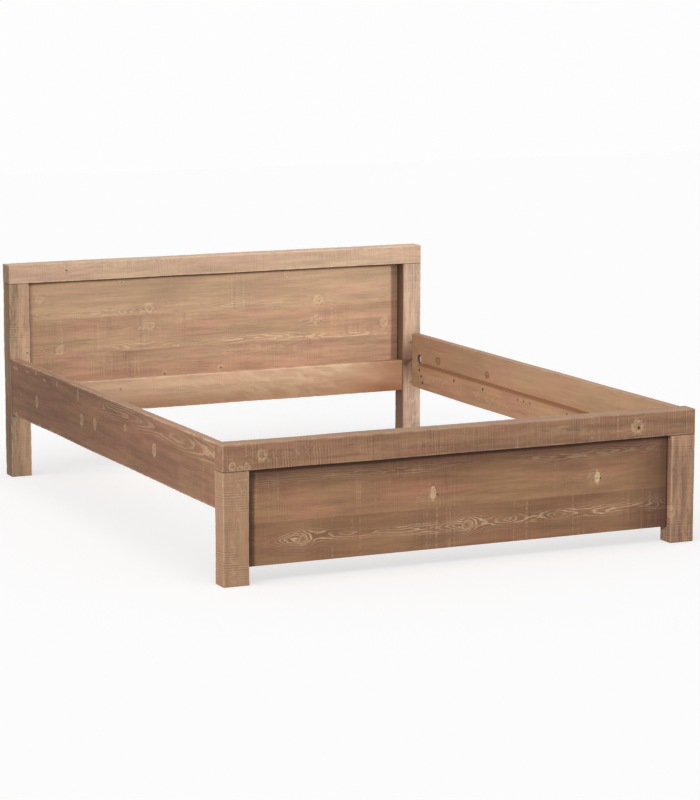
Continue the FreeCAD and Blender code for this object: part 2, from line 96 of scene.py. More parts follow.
# Tree: how its heart wanders, and how rings and figure change about its knots
HEART_WANDER = 0.005
HEART_WANDER_PITCH = 0.8
HEART_DIVE_PITCH = 0.5
FADED_FIGURE = 0.25
KNOT_PUSH = 0.6
KNOT_PUSH_LENGTH = 3.0
KNOT_PUSH_WIDTH = 1.8
KNOT_SWELL = 5.0
KNOT_TAIL = 0.055
KNOT_HEAD = 0.020
KNOT_TAPER = 0.018
KNOT_FIGURE = 0.7
KNOT_FIGURE_REACH = 2
PITH_ALONG_SHARE = 0.3
PITH_DOWN_SHARE = 0.25
PITH_LINE_SHARES = (-1.3, -0.5, 0.5, 1.3)
CURL_LEAN = math.radians(-25)

# Width of the painted shadow under a cap, and the distance that stands for none near
UNDER_CAP_SHADOW = 0.012
FAR = 9.0

# Order of the bed's axes as along, across and through, for timbers that lie along X, Y or Z
AXES = {"X": (0, 2, 1), "Y": (1, 2, 0), "Z": (2, 0, 1)}
FACES = ("front", "high", "back", "low")
DIRECTIONS = ("along", "across", "through")


def lines(low, high, step, extra=()):
    """Evenly spaced values from low to high and the extra ones, less the even values that these crowd."""
    even = np.linspace(low, high, max(2, round((high - low) / step) + 1))
    extra = np.unique(np.round([value for value in extra if low < value < high], FINEST_PLACES))
    if extra.size:
        crowded = np.abs(even[:, None] - extra).min(1) < step / CROWDED_PARTS
        crowded[[0, -1]] = False
        even = even[~crowded]
    return np.union1d(even, extra)


def ripple(rng, place, pitch, parts=4, spread=0.45):
    """Sum of sines of unlike wavelengths about the pitch, each with its own phase, from about -1 to 1."""
    waves = pitch * (1 + rng.uniform(-spread, spread, parts))
    phases = rng.uniform(0, 2 * math.pi, parts)
    sines = (np.sin(2 * math.pi * place / wave + phase) for wave, phase in zip(waves, phases))
    return sum(sines) / math.sqrt(parts)


def eased_section(width, thickness, easing, cuts):
    """Loop round a rectangle with quarter-circle corners: four straight sides, each followed by an arc.

    Gives each point's place across and through, its outward normal, the number of its face (-1 in a corner)
    and its distance from the nearest edge. Cuts are extra places wanted on a face.
    """
    reach = (width / 2 - easing, thickness / 2 - easing)
    points, normals, faces, edges = [], [], [], []
    for number, face in enumerate(FACES):
        along_width = number % 2 == 0
        side = reach[0] if along_width else reach[1]
        places = lines(-side, side, FACE_STEP, cuts[face])
        run = places if number < 2 else places[::-1]
        turn = number * math.pi / 2
        out = np.array([math.sin(turn), -math.cos(turn)]).round(FINEST_PLACES)
        level = (thickness if along_width else width) / 2
        side_points = np.outer(np.ones(len(run)), out * level)
        side_points[:, 0 if along_width else 1] += run
        points.append(side_points)
        normals.append(np.tile(out, (len(run), 1)))
        faces.append(np.full(len(run), number))
        edges.append(side - np.abs(run))
        angles = turn + np.linspace(0, math.pi / 2, CORNER_PARTS + 1)[1:-1]
        arc = np.stack([np.sin(angles), -np.cos(angles)], 1)
        corner = np.array([reach[0] if number in (0, 1) else -reach[0],
                           reach[1] if number in (1, 2) else -reach[1]])
        points.append(corner + easing * arc)
        normals.append(arc)
        faces.append(np.full(len(arc), -1))
        edges.append(np.zeros(len(arc)))
    return [np.concatenate(part) for part in (points, normals, faces, edges)]


def stations(length, easing, step, cuts):
    """Places of the section along a timber, with how far it is drawn in and shrunk at each.

    Each end grows from its middle in even steps, rounds its edge along a quarter circle, a little tighter
    than the long corners so that these keep a small arc there, and then the places run evenly to the other
    end.
    """
    grow = np.arange(1, END_RINGS) / END_RINGS
    quarter = np.linspace(0, math.pi / 2, CORNER_PARTS + 1)[:-1]
    rounding = END_ROUNDING_SHARE * easing
    body = lines(rounding - length / 2, length / 2 - rounding, step, cuts)
    start = np.concatenate([np.full(len(grow), -length / 2), rounding * (1 - np.cos(quarter)) - length / 2])
    inset = np.concatenate([np.full(len(grow), rounding), rounding * (1 - np.sin(quarter))])
    shrink = np.concatenate([grow, np.ones(len(quarter))])
    along = np.concatenate([start, body, -start[::-1]])
    inset = np.concatenate([inset, np.zeros(len(body)), inset[::-1]])
    shrink = np.concatenate([shrink, np.ones(len(body)), shrink[::-1]])
    return along, inset, shrink


def saw_marks(rng, along, across, through):
    """Ridges across the timber: slightly slanted sines a few millimetres apart, under a slow swell."""
    swell = SAW_SWELL_MEAN + SAW_SWELL_RISE * ripple(rng, along + SAW_SWELL_SLANT * across, SAW_SWELL_PITCH)
    slanted = along + SAW_MARK_SLANT[0] * across + SAW_MARK_SLANT[1] * through
    ridges = ripple(rng, slanted, SAW_MARK_PITCH, SAW_MARK_PARTS, SAW_MARK_SPREAD)
    return ridges * np.clip(swell, *SAW_SWELL_LIMITS)


def relief(rng, timber, saw, edge, along, across, through):
    """Height over the plain section: the saw marks and a slow bow, less what is worn off near the edges."""
    slanted = along + EDGE_WEAR_SLANT[0] * across + EDGE_WEAR_SLANT[1] * through
    worn = np.clip(ripple(rng, slanted, EDGE_WEAR_PITCH, EDGE_WEAR_PARTS), 0, 1)
    height = SAW_MARK_DEPTH * timber.saw * saw + timber.bow * ripple(rng, along, BOW_PITCH)
    return height - EDGE_WEAR * timber.rub * worn * np.exp(-edge / EDGE_WEAR_REACH)


def growth(rng, timber, along, across, through):
    """Rings, figure and knots at each point.

    The ring number is the distance from the tree's heart, which leans, wanders and dips along the timber,
    over the ring width. Near a knot the point's height is drawn towards the knot's middle, so that the rings
    part round it, and their numbers drop into a point that tapers away from it. The figure is strongest
    along the heart and round knots, and may fade between two places. The knot and pith measures are the
    distance from the nearest knot, or from its dark pith, over its radius.
    """
    heart_across = timber.heart[0] + HEART_WANDER * ripple(rng, along, HEART_WANDER_PITCH)
    heart_through = timber.heart[1] + timber.lean * along
    heart_through = heart_through + timber.dive * ripple(rng, along, HEART_DIVE_PITCH)
    for place, reach, depth in timber.dips:
        heart_through += depth * np.exp(-((along - place) / reach) ** 2)
    knot = np.full(along.shape, FAR)
    pith = np.full(along.shape, FAR)
    swelling = np.zeros(along.shape)
    knot_figure = np.zeros(along.shape)
    parted = across
    for place, height, radius, _, stretch in timber.knots:
        run, rise = along - place, across - height
        knot = np.minimum(knot, np.hypot(run / stretch, rise) / radius)
        push = (run / KNOT_PUSH_LENGTH) ** 2 + (rise / KNOT_PUSH_WIDTH) ** 2
        parted = parted - (parted - height) * KNOT_PUSH * np.exp(-push / radius ** 2)
        taper = np.where(run < 0, -run / KNOT_TAIL, run / KNOT_HEAD) + np.abs(rise) / KNOT_TAPER
        swelling += KNOT_SWELL * np.exp(-taper)
        knot_figure = np.maximum(knot_figure, KNOT_FIGURE * np.exp(-taper / KNOT_FIGURE_REACH))
    for dot in timber.piths:
        pith = np.minimum(pith, np.hypot(along - dot.along, across - dot.across) / dot.radius)
    ring = np.hypot(parted - heart_across, through - heart_through) / timber.ring - swelling
    figure = np.maximum(np.exp(-((parted - heart_across) / timber.reach) ** 2), knot_figure)
    if timber.fade:
        figure *= np.interp(along, timber.fade, (1.0, FADED_FIGURE))
    return SimpleNamespace(ring=ring, figure=figure, knot=knot, pith=pith)


def seam_and_shade_distance(timber, along, across):
    """Distance from the nearest place where another timber meets this one, in widths of the dark seam there,
    painted shadow under a cap.
    """
    distance = np.full(along.shape, FAR)
    for butt in timber.butts:
        distance = np.minimum(distance, np.abs(along - butt) / timber.seam)
    for level in timber.under:
        distance = np.minimum(distance, np.abs(across - level) / UNDER_CAP_SHADOW)
    return distance


def shaded_patches(patches, points):
    """How far a patch is darker or paler, from 0 to 1: a smooth step down from each patch's middle.

    Each patch has its strength and its bounds, which are a direction, a place in it and a reach each. The
    narrowest bound counts.
    """
    shade = np.zeros(points.shape[:2])
    for strength, *bounds in patches:
        near = np.ones(points.shape[:2])
        for direction, place, reach in bounds:
            near = np.minimum(near, 1 - np.abs(points[..., DIRECTIONS.index(direction)] - place) / reach)
        near = np.maximum(near, 0)
        shade = np.maximum(shade, strength * near ** 2 * (3 - 2 * near))
    return shade


def curly_patch(timber, along):
    """Share of curly grain: a bell curve along the timber about one place."""
    place, reach, strength = timber.curl
    return strength * np.exp(-((along - place) / reach) ** 2)


def slot_in(face, along, over, depth):
    """A straight groove in a face, by its two ends along the timber and its two sides over the face."""
    return SimpleNamespace(face=face, along=along, over=over, depth=depth)


def hole_in(face, along, over, radius, depth):
    """A round hole in a face, by its middle along the timber and over the face."""
    return SimpleNamespace(face=face, along=along, over=over, radius=radius, depth=depth)


def over_axis(face):
    """The direction over a face, square to the length: across on the front and back, else through."""
    return DIRECTIONS.index("across" if face in ("front", "back") else "through")


def plough(points, normals, on_face, slot):
    """Sink the points of one face that lie inside a rectangle, straight in by the slot's depth."""
    along, over = points[..., 0], points[..., over_axis(slot.face)]
    inside = on_face & (along > slot.along[0]) & (along < slot.along[1])
    inside &= (over > slot.over[0]) & (over < slot.over[1])
    return points - inside[..., None] * normals * slot.depth


def bore(points, normals, on_face, hole):
    """Sink a round hole into one face.

    Squares of the grid about the hole's middle become circles: out to the radius they form its floor, the
    next grid line becomes its rim, and from there to the edge of the patch circles blend back into squares.
    """
    axes = (0, over_axis(hole.face))
    middle = (hole.along, hole.over)
    local = points[..., axes] - middle
    square = np.abs(local).max(-1)
    patch = HOLE_PATCH_SHARE * hole.radius
    inside = on_face & (square < patch - CREASE / 2)
    circle = local / np.maximum(np.hypot(local[..., 0], local[..., 1]), TINY)[..., None]
    floor = square <= hole.radius + CREASE / 2
    blend = np.clip((square - hole.radius - CREASE) / (patch - hole.radius - CREASE), 0, 1)[..., None]
    rim = (1 - blend) * circle * hole.radius + blend * local / np.maximum(square, TINY)[..., None] * patch
    moved = np.where(floor[..., None], circle * np.minimum(square, hole.radius)[..., None], rim)
    result = points - (inside & floor)[..., None] * normals * hole.depth
    for number, axis in enumerate(axes):
        result[..., axis] = np.where(inside, moved[..., number] + middle[number], result[..., axis])
    return result


def rim_distance(timber, points, face_number):
    """Distance from the nearest bored hole's edge, on that hole's face, in widths of its dark rim."""
    distance = np.full(points.shape[:2], FAR)
    for hole in timber.holes:
        over = points[..., over_axis(hole.face)]
        gap = np.abs(np.hypot(points[..., 0] - hole.along, over - hole.over) - hole.radius) / HOLE_RIM
        distance = np.where(face_number == FACES.index(hole.face), np.minimum(distance, gap), distance)
    return distance


def crease_lines(ends):
    """Grid places that a groove needs at its ends or sides: a close pair at each, for a sharp wall."""
    return [end + step for end in ends for step in (-CREASE / 2, CREASE / 2)]


def hole_lines(place, radius):
    """Grid places that a round hole needs on each side of its middle: floor, wall and edge of the patch."""
    shares = np.array([*HOLE_FLOOR_SHARES, 1 + CREASE / radius, HOLE_PATCH_SHARE])
    return [*(place - radius * shares), *(place + radius * shares)]


def pith_lines(place, radius):
    """Grid places that show a knot's small dark pith."""
    return [place + radius * share for share in PITH_LINE_SHARES]


def grid_cuts(timber):
    """Extra grid places along the timber and over each face, for its grooves, holes and piths."""
    along = []
    over = {face: [] for face in FACES}
    for slot in timber.slots:
        along += crease_lines(slot.along)
        over[slot.face] += crease_lines(slot.over)
    for hole in timber.holes:
        along += hole_lines(hole.along, hole.radius)
        over[hole.face] += hole_lines(hole.over, hole.radius)
    for dot in timber.piths:
        along += pith_lines(dot.along, dot.radius)
        for face in ("front", "back"):
            over[face] += pith_lines(dot.across, dot.radius)
    return along, over


def timber_piece(timber):
    """Build one timber's surface with its attributes, in the bed's frame, and stand it for its CAD node.

    The section at each station is drawn in by the end's rounding and shrunk towards the end's middle. Relief
    moves each point along its normal, and then the grooves and holes are sunk.
    """
    order = AXES[timber.axis]
    low, high = (np.array(corner)[list(order)] for corner in timber.box)
    middle = (low + high) / 2
    length, width, thickness = high - low
    local = localised(timber, middle)
    along_cuts, over_cuts = grid_cuts(local)

    loop = eased_section(width, thickness, timber.easing, over_cuts)
    section, section_normal, face_number, section_edge = loop
    place, inset, shrink = stations(length, timber.easing, timber.step, along_cuts)
    along = np.repeat(place[:, None], len(section), 1)
    flat = shrink[:, None, None] * (section - inset[:, None, None] * section_normal)
    points = np.concatenate([along[..., None], flat], -1)
    normals = np.zeros_like(points)
    normals[..., 1:] = section_normal
    end = (shrink < 1)[:, None]
    edge = np.minimum(section_edge[None, :], length / 2 - np.abs(along))
    edge = np.where(end, (1 - shrink[:, None]) * min(width, thickness) / 2, edge)

    rng = np.random.default_rng(timber.seed)
    places = np.moveaxis(points, -1, 0)
    fields = growth(rng, local, *places)
    fields.saw = saw_marks(rng, *places)
    # Dark seams where timbers meet, and painted shadow under the caps
    fields.seam = seam_and_shade_distance(local, *places[:2])
    # Darker patches, most of them painted shade
    fields.pool = shaded_patches(local.pools, points)
    # Paler patches, partly painted highlight on top faces and partly wear
    fields.rubbed = shaded_patches(local.rubs, points)
    fields.curl = curly_patch(local, along)
    fields.edge = edge
    fields.end = np.broadcast_to(end, along.shape).astype(float)
    height = relief(rng, timber, fields.saw, edge, *places)
    points = points + np.where(end, 0, height)[..., None] * normals
    for slot in local.slots:
        points = plough(points, normals, face_number == FACES.index(slot.face), slot)
    for hole in local.holes:
        points = bore(points, normals, (face_number == FACES.index(hole.face)) & ~end, hole)
    fields.rim = rim_distance(local, points, face_number)

    piece = closed_mesh(timber.node + "_sawn", points, fields, order, middle)
    piece.data.materials.append(sawn_softwood(timber))
    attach(piece, "root")
    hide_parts(timber.node)
    return piece


def localised(timber, middle):
    """The timber with its knots, piths, seams, painted shadow under caps, patches, grooves and holes
    measured from its middle.
    """
    local = SimpleNamespace(**vars(timber))
    local.knots = [(place - middle[0], height - middle[1], *rest) for place, height, *rest in timber.knots]
    local.piths = [SimpleNamespace(along=place + PITH_ALONG_SHARE * radius / stretch,
                                   across=height - PITH_DOWN_SHARE * radius, radius=radius * share)
                   for place, height, radius, share, stretch in local.knots if share]
    local.butts = [place - middle[0] for place in timber.butts]
    local.under = [level - middle[1] for level in timber.under]
    local.pools = localised_patches(timber.pools, middle)
    local.rubs = localised_patches(timber.rubs, middle)
    local.slots = [slot_in(slot.face, [end - middle[0] for end in slot.along],
                           [side - middle[over_axis(slot.face)] for side in slot.over], slot.depth)
                   for slot in timber.slots]
    local.holes = [hole_in(hole.face, hole.along - middle[0], hole.over - middle[over_axis(hole.face)],
                           hole.radius, hole.depth)
                   for hole in timber.holes]
    return local


def localised_patches(patches, middle):
    """Darker and paler patches with their places measured from the timber's middle."""
    return [(strength, *[(direction, place - middle[DIRECTIONS.index(direction)], reach)
                         for direction, place, reach in bounds])
            for strength, *bounds in patches]


def closed_mesh(name, points, fields, order, middle):
    """Mesh of a grid that closes round on itself, with a fan of triangles at each end.

    Along, across and through are a left-handed set on a timber along X, so its faces are turned over.
    """
    rows, columns = points.shape[:2]
    local = np.concatenate([points.reshape(-1, 3), points[[0, -1]].mean(1)])
    placed = np.empty_like(local)
    placed[:, list(order)] = local + middle
    number = np.arange(rows * columns).reshape(rows, columns)
    onward = np.roll(number, -1, 1)
    quads = np.stack([number[:-1], onward[:-1], onward[1:], number[1:]], -1).reshape(-1, 4)
    first = np.full(columns, rows * columns)
    fans = np.concatenate([np.stack([first, onward[0], number[0]], -1),
                           np.stack([number[-1], onward[-1], first + 1], -1)])
    if order == AXES["X"]:
        quads, fans = quads[:, ::-1], fans[:, ::-1]
    corners = np.concatenate([quads.ravel(), fans.ravel()])
    starts = np.concatenate([np.arange(len(quads)) * 4, len(quads) * 4 + np.arange(len(fans)) * 3])
    mesh = bpy.data.meshes.new(name)
    mesh.vertices.add(len(placed))
    mesh.vertices.foreach_set("co", placed.astype(np.float32).ravel())
    mesh.loops.add(len(corners))
    mesh.loops.foreach_set("vertex_index", corners.astype(np.int32))
    mesh.polygons.add(len(starts))
    mesh.polygons.foreach_set("loop_start", starts.astype(np.int32))
    mesh.polygons.foreach_set("use_smooth", np.ones(len(starts), bool))
    mesh.update(calc_edges=True)
    mesh.validate()
    for field, values in vars(fields).items():
        closed = np.concatenate([values.ravel(), values[[0, -1]].mean(1)])
        mesh.attributes.new(field, "FLOAT", "POINT").data.foreach_set("value", closed.astype(np.float32))
    piece = bpy.data.objects.new(name, mesh)
    bpy.context.scene.collection.objects.link(piece)
    return piece


# Places of a mixing node's colour sockets, and the mean of a noise
MIX_FIRST = 6
MIX_SECOND = 7
MIX_RESULT = 2
NOISE_MEAN = 0.5


def screen_colour(colour):
    """The linear colour that a standard screen shows as these values from 0 to 255."""
    share = np.array(colour) / 255
    linear = np.where(share <= 0.04045, share / 12.92, ((share + 0.055) / 1.055) ** 2.4)
    return (*linear.tolist(), 1.0)


class Wiring:
    """Short words for adding and linking the nodes of one tree."""

    def __init__(self, tree):
        self.tree = tree

    def add(self, kind, **settings):
        """A new node with its settings."""
        node = self.tree.nodes.new(kind)
        for name, value in settings.items():
            setattr(node, name, value)
        return node

    def put(self, socket, value):
        """Link a socket to another one, or set it to a steady value."""
        if isinstance(value, bpy.types.NodeSocket):
            self.tree.links.new(value, socket)
        else:
            socket.default_value = value

    def calc(self, operation, first, second=0.0):
        """One step of arithmetic."""
        node = self.add("ShaderNodeMath", operation=operation)
        self.put(node.inputs[0], first)
        self.put(node.inputs[1], second)
        return node.outputs[0]

    def plus(self, result, *others):
        """Sum of all the values."""
        for other in others:
            result = self.calc("ADD", result, other)
        return result

    def times(self, result, *others):
        """Product of all the values."""
        for other in others:
            result = self.calc("MULTIPLY", result, other)
        return result

    def span(self, value, low, high, start=0.0, end=1.0):
        """Smooth step from start to end as the value goes from low to high."""
        node = self.add("ShaderNodeMapRange", interpolation_type="SMOOTHSTEP")
        for socket, number in zip(node.inputs, (value, low, high, start, end)):
            self.put(socket, number)
        return node.outputs[0]

    def fall(self, value, start, stop, top=1.0):
        """Smooth step from top down to 0 as the value goes from start to stop."""
        return self.span(value, start, stop, top, 0.0)

    def hill(self, value, foot, rise, brow, stop, top=1.0):
        """Smooth step up as the value goes from foot to rise, then down to 0 from brow to stop."""
        return self.times(self.span(value, foot, rise), self.fall(value, brow, stop, top))

    def swing(self, noise, spread, reach):
        """Smooth step from minus reach to reach as a noise goes from a spread below its mean to above it."""
        return self.span(noise, NOISE_MEAN - spread, NOISE_MEAN + spread, -reach, reach)

    def mix(self, share, first, second):
        """The first colour turned towards the second by a share."""
        node = self.add("ShaderNodeMix", data_type="RGBA")
        self.put(node.inputs[0], share)
        self.put(node.inputs[MIX_FIRST], first)
        self.put(node.inputs[MIX_SECOND], second)
        return node.outputs[MIX_RESULT]

    def noise(self, vector, waves, detail=2.0, roughness=0.5):
        """Noise with its own count of waves to the metre in each of the vector's directions."""
        scaled = self.add("ShaderNodeVectorMath", operation="MULTIPLY")
        self.put(scaled.inputs[0], vector)
        self.put(scaled.inputs[1], waves)
        node = self.add("ShaderNodeTexNoise")
        self.put(node.inputs["Vector"], scaled.outputs[0])
        self.put(node.inputs["Scale"], 1.0)
        self.put(node.inputs["Detail"], detail)
        self.put(node.inputs["Roughness"], roughness)
        return node.outputs[0]

    def place(self):
        """Place on the piece, in the bed's frame."""
        return self.add("ShaderNodeTexCoord").outputs["Object"]

    def field(self, name):
        """One of the timber's own attributes."""
        return self.add("ShaderNodeAttribute", attribute_name=name).outputs["Fac"]


# Noises in the wood, in waves to the metre along, across and through it
WAVES = {
    "streak": (4.5, 46, 46), "band": (1.2, 15, 15), "blotch": (4, 8, 8), "fibre": (18, 700, 700),
    "hue": (4, 14, 14), "hair": (5, 210, 210), "fleck": (34, 290, 290),
    "tremble": (26, 120, 120), "showing rings": (3, 14, 14), "curl": (15, 8, 42),
    "fine saw": (330, 5, 5), "broken saw": (12, 170, 170),
    "score": (110, 2.5, 2.5), "score cluster": (6, 2, 2), "score dash": (22, 220, 220),
    "ragged knot": (80, 260, 260), "patchy knot": (90, 180, 180), "crack": (230, 110, 230),
    "broken bark": (60, 60, 60), "rubbed edge": (22, 60, 60),
}

# Swings with a noise, as the noise's spread and the reach: of the stain's brightness, and of other marks
BRIGHTNESS = {"streak": (0.2, 0.18), "band": (0.2, 0.09), "blotch": (0.2, 0.09), "fibre": (0.25, 0.08)}
SWINGS = {
    "tremble": (0.3, 1.0), "fine saw": (0.3, 0.9), "ragged knot": (0.25, 0.26), "ragged pith": (0.25, 0.4),
}

# Smooth steps, by where the noise or field starts and ends each, and what it runs from and to if not 0 to 1
STEPS = {
    "hue": (0.3, 0.7, 0.4925, 0.5055), "hair": (0.6, 0.72), "fleck": (0.58, 0.70),
    "showing rings": (0.4, 0.6, 0.12, 1.0), "figure": (0.02, 0.75, 0.1, 1.0), "outside knot": (0.7, 1.1),
    "curl": (0.42, 0.68), "broken saw": (0.38, 0.62, 0.15, 1.0), "ridge": (0.2, 1.6), "furrow": (-0.2, -1.6),
    "score cluster": (0.48, 0.62, 0.12, 1.0), "score dash": (0.43, 0.55),
    "pale score": (0.56, 0.70, 0.0, 0.36), "dark score": (0.44, 0.30, 0.0, 0.26),
    "patchy knot": (0.34, 0.62, 0.5, 1.0), "crack": (0.54, 0.62), "broken bark": (0.42, 0.6),
    "rubbed edge": (0.35, 0.6, 0.1, 0.6), "roughness": (0.2, 0.8, 0.62, 0.85),
}

# Falls and hills, by the places in their field, and their top if not 1
FALLS = {
    "flare": (2.0, 8.0), "smudge": (0.2, 1.5), "knot ring": (0.80, 1.0, 0.42), "crack": (0.3, 0.8),
    "pith": (0.7, 1.2, 0.9), "edge": (0.0, 0.005), "seam": (0.25, 1.1, 0.86), "rim": (0.2, 1.2, 0.8),
}
HILLS = {
    "late wood": (0.42, 0.84, 0.86, 1.0), "halo": (0.35, 0.85, 0.85, 1.35, 0.85),
    "knot ring": (0.35, 0.70, 0.80, 1.0), "bark": (0.95, 1.15, 1.15, 1.45),
}

# How far some marks turn the colour of the wood under them, and what they add to the height of the bump
SHARES = {
    "hair": 0.34, "fleck": 0.24, "ridge": 0.28, "furrow": 0.46, "crack": 0.55, "bark": 0.45, "end": 0.06,
}
HEIGHTS = {"line": 0.5, "saw": 0.3, "fibre": 0.5, "crack": -0.8}
KNOT_RINGS = 3.0
# Colours of dark seams, which are painted shadow under caps and partly painted shade beside uprights, and of
# dark hole rims
JOINT_AND_SHADE_COLOURS = {"seam": (62, 39, 29), "rim": (62, 34, 20)}

# What the grain takes from each timber, and what it gives
STRENGTHS = ("Saw", "Figure", "Streak", "Rub", "Smudge", "Tremble", "Score", "Flare")
GRAIN_TAKES = {"NodeSocketVector": ("Grain",),
               "NodeSocketColor": ("Stain", "Pale", "Dark", "Knot", "Pith", "Pool"),
               "NodeSocketFloat": STRENGTHS}
GRAIN_GIVES = {"NodeSocketColor": ("Color",), "NodeSocketFloat": ("Roughness", "Height")}


def streaked_stain(net, given, fibre):
    """Stain in long soft streaks, warmer and cooler, with fine fibres, dark hairs and flecks along them."""
    grain = given["Grain"]
    noises = {"streak": net.noise(grain, WAVES["streak"], detail=3.0, roughness=0.6),
              "band": net.noise(grain, WAVES["band"]), "blotch": net.noise(grain, WAVES["blotch"]),
              "fibre": fibre}
    tone = net.plus(*(net.swing(noises[name], *swing) for name, swing in BRIGHTNESS.items()))
    shaded = net.add("ShaderNodeHueSaturation")
    net.put(shaded.inputs["Hue"], net.span(net.noise(grain, WAVES["hue"]), *STEPS["hue"]))
    net.put(shaded.inputs["Value"], net.plus(net.times(tone, given["Streak"]), 1.0))
    net.put(shaded.inputs["Color"], given["Stain"])
    hair = net.span(net.noise(grain, WAVES["hair"], detail=3.0), *STEPS["hair"])
    fleck = net.span(net.noise(grain, WAVES["fleck"]), *STEPS["fleck"])
    dashes = net.plus(net.times(hair, SHARES["hair"]), net.times(fleck, SHARES["fleck"]))
    return net.mix(net.times(dashes, given["Streak"]), shaded.outputs[0], given["Dark"])


def late_wood(net, given, knot):
    """Share of the pale late wood that ends each ring: strong along the heart and lost inside the knots."""
    grain = given["Grain"]
    tremble = net.swing(net.noise(grain, WAVES["tremble"], detail=1.0), *SWINGS["tremble"])
    phase = net.calc("FRACT", net.plus(net.field("ring"), net.times(tremble, given["Tremble"])))
    late = net.hill(phase, *HILLS["late wood"])
    showing = net.span(net.noise(grain, WAVES["showing rings"]), *STEPS["showing rings"])
    flare = net.times(net.fall(net.field("knot"), *FALLS["flare"]), given["Flare"])
    showing = net.calc("MAXIMUM", showing, flare)
    showing = net.times(showing, net.span(net.field("figure"), *STEPS["figure"]))
    return net.times(late, showing, net.span(knot, *STEPS["outside knot"]), given["Figure"])


def curly_waves(net, given):
    """Share of curly grain: soft pale waves that lean across the timber."""
    lean = net.add("ShaderNodeMapping")
    lean.inputs["Rotation"].default_value = (0, CURL_LEAN, 0)
    net.put(lean.inputs["Vector"], given["Grain"])
    waves = net.span(net.noise(lean.outputs[0], WAVES["curl"], detail=1.0), *STEPS["curl"])
    return net.times(waves, net.field("curl"))


def saw_furrows(net, given, color, saw):
    """Pale ridges and dark furrows across the timber, broken where the fibres run harder."""
    broken = net.span(net.noise(given["Grain"], WAVES["broken saw"]), *STEPS["broken saw"])
    marked = net.times(broken, given["Saw"])
    ridge = net.times(net.span(saw, *STEPS["ridge"]), marked, SHARES["ridge"])
    furrow = net.times(net.span(saw, *STEPS["furrow"]), marked, SHARES["furrow"])
    color = net.mix(ridge, color, given["Pale"])
    return net.mix(furrow, color, given["Dark"])


def stray_scores(net, given, color):
    """Clusters of fine scores that stray teeth leave, pale and dark, broken by the fibres."""
    grain = given["Grain"]
    cluster = net.span(net.noise(grain, WAVES["score cluster"]), *STEPS["score cluster"])
    dashed = net.span(net.noise(grain, WAVES["score dash"], detail=1.0), *STEPS["score dash"])
    scored = net.times(cluster, dashed, given["Score"])
    score = net.noise(grain, WAVES["score"], detail=1.0)
    pale = net.span(score, *STEPS["pale score"])
    dark = net.span(score, *STEPS["dark score"])
    color = net.mix(net.times(pale, scored), color, given["Pale"])
    return net.mix(net.times(dark, scored), color, given["Dark"])


def knot_faces(net, given, color, knot, crack, ragged):
    """Knots: a patchy pale middle, a paler rim, own rings, fine cracks, broken bark and some dark piths."""
    grain = given["Grain"]
    patchy = net.span(net.noise(grain, WAVES["patchy knot"]), *STEPS["patchy knot"])
    smudge = net.times(net.fall(knot, *FALLS["smudge"]), given["Smudge"], patchy)
    halo = net.times(net.hill(knot, *HILLS["halo"]), net.calc("SUBTRACT", 1.0, given["Smudge"]), patchy)
    phase = net.calc("FRACT", net.times(knot, KNOT_RINGS))
    ring = net.times(net.hill(phase, *HILLS["knot ring"]), net.fall(knot, *FALLS["knot ring"]))
    broken = net.span(net.noise(grain, WAVES["broken bark"], detail=1.0), *STEPS["broken bark"])
    bark = net.times(net.hill(knot, *HILLS["bark"]), broken, SHARES["bark"])
    pith = net.plus(net.field("pith"), net.swing(ragged, *SWINGS["ragged pith"]))
    for share in (smudge, halo):
        color = net.mix(share, color, given["Knot"])
    for share in (ring, net.times(crack, SHARES["crack"]), bark):
        color = net.mix(share, color, given["Dark"])
    return net.mix(net.fall(pith, *FALLS["pith"]), color, given["Pith"])


def worn_joined_and_shaded(net, given, color):
    """Edges rubbed paler, sawn ends that drink more stain, patches largely of painted shade, dark seams and
    hole rims.
    """
    rub = net.span(net.noise(given["Grain"], WAVES["rubbed edge"]), *STEPS["rubbed edge"])
    worn = net.times(net.fall(net.field("edge"), *FALLS["edge"]), rub, given["Rub"])
    color = net.mix(worn, color, given["Pale"])
    color = net.mix(net.times(net.field("end"), SHARES["end"]), color, given["Dark"])
    # Paler patches, partly painted highlight on top faces and partly wear
    color = net.mix(net.field("rubbed"), color, given["Pale"])
    # Darker patches, most of them painted shade
    color = net.mix(net.field("pool"), color, given["Pool"])
    # Dark seams, with painted shadow under caps and partly painted shade beside uprights, and dark hole rims
    for darkened, dark in JOINT_AND_SHADE_COLOURS.items():
        color = net.mix(net.fall(net.field(darkened), *FALLS[darkened]), color, screen_colour(dark))
    return color


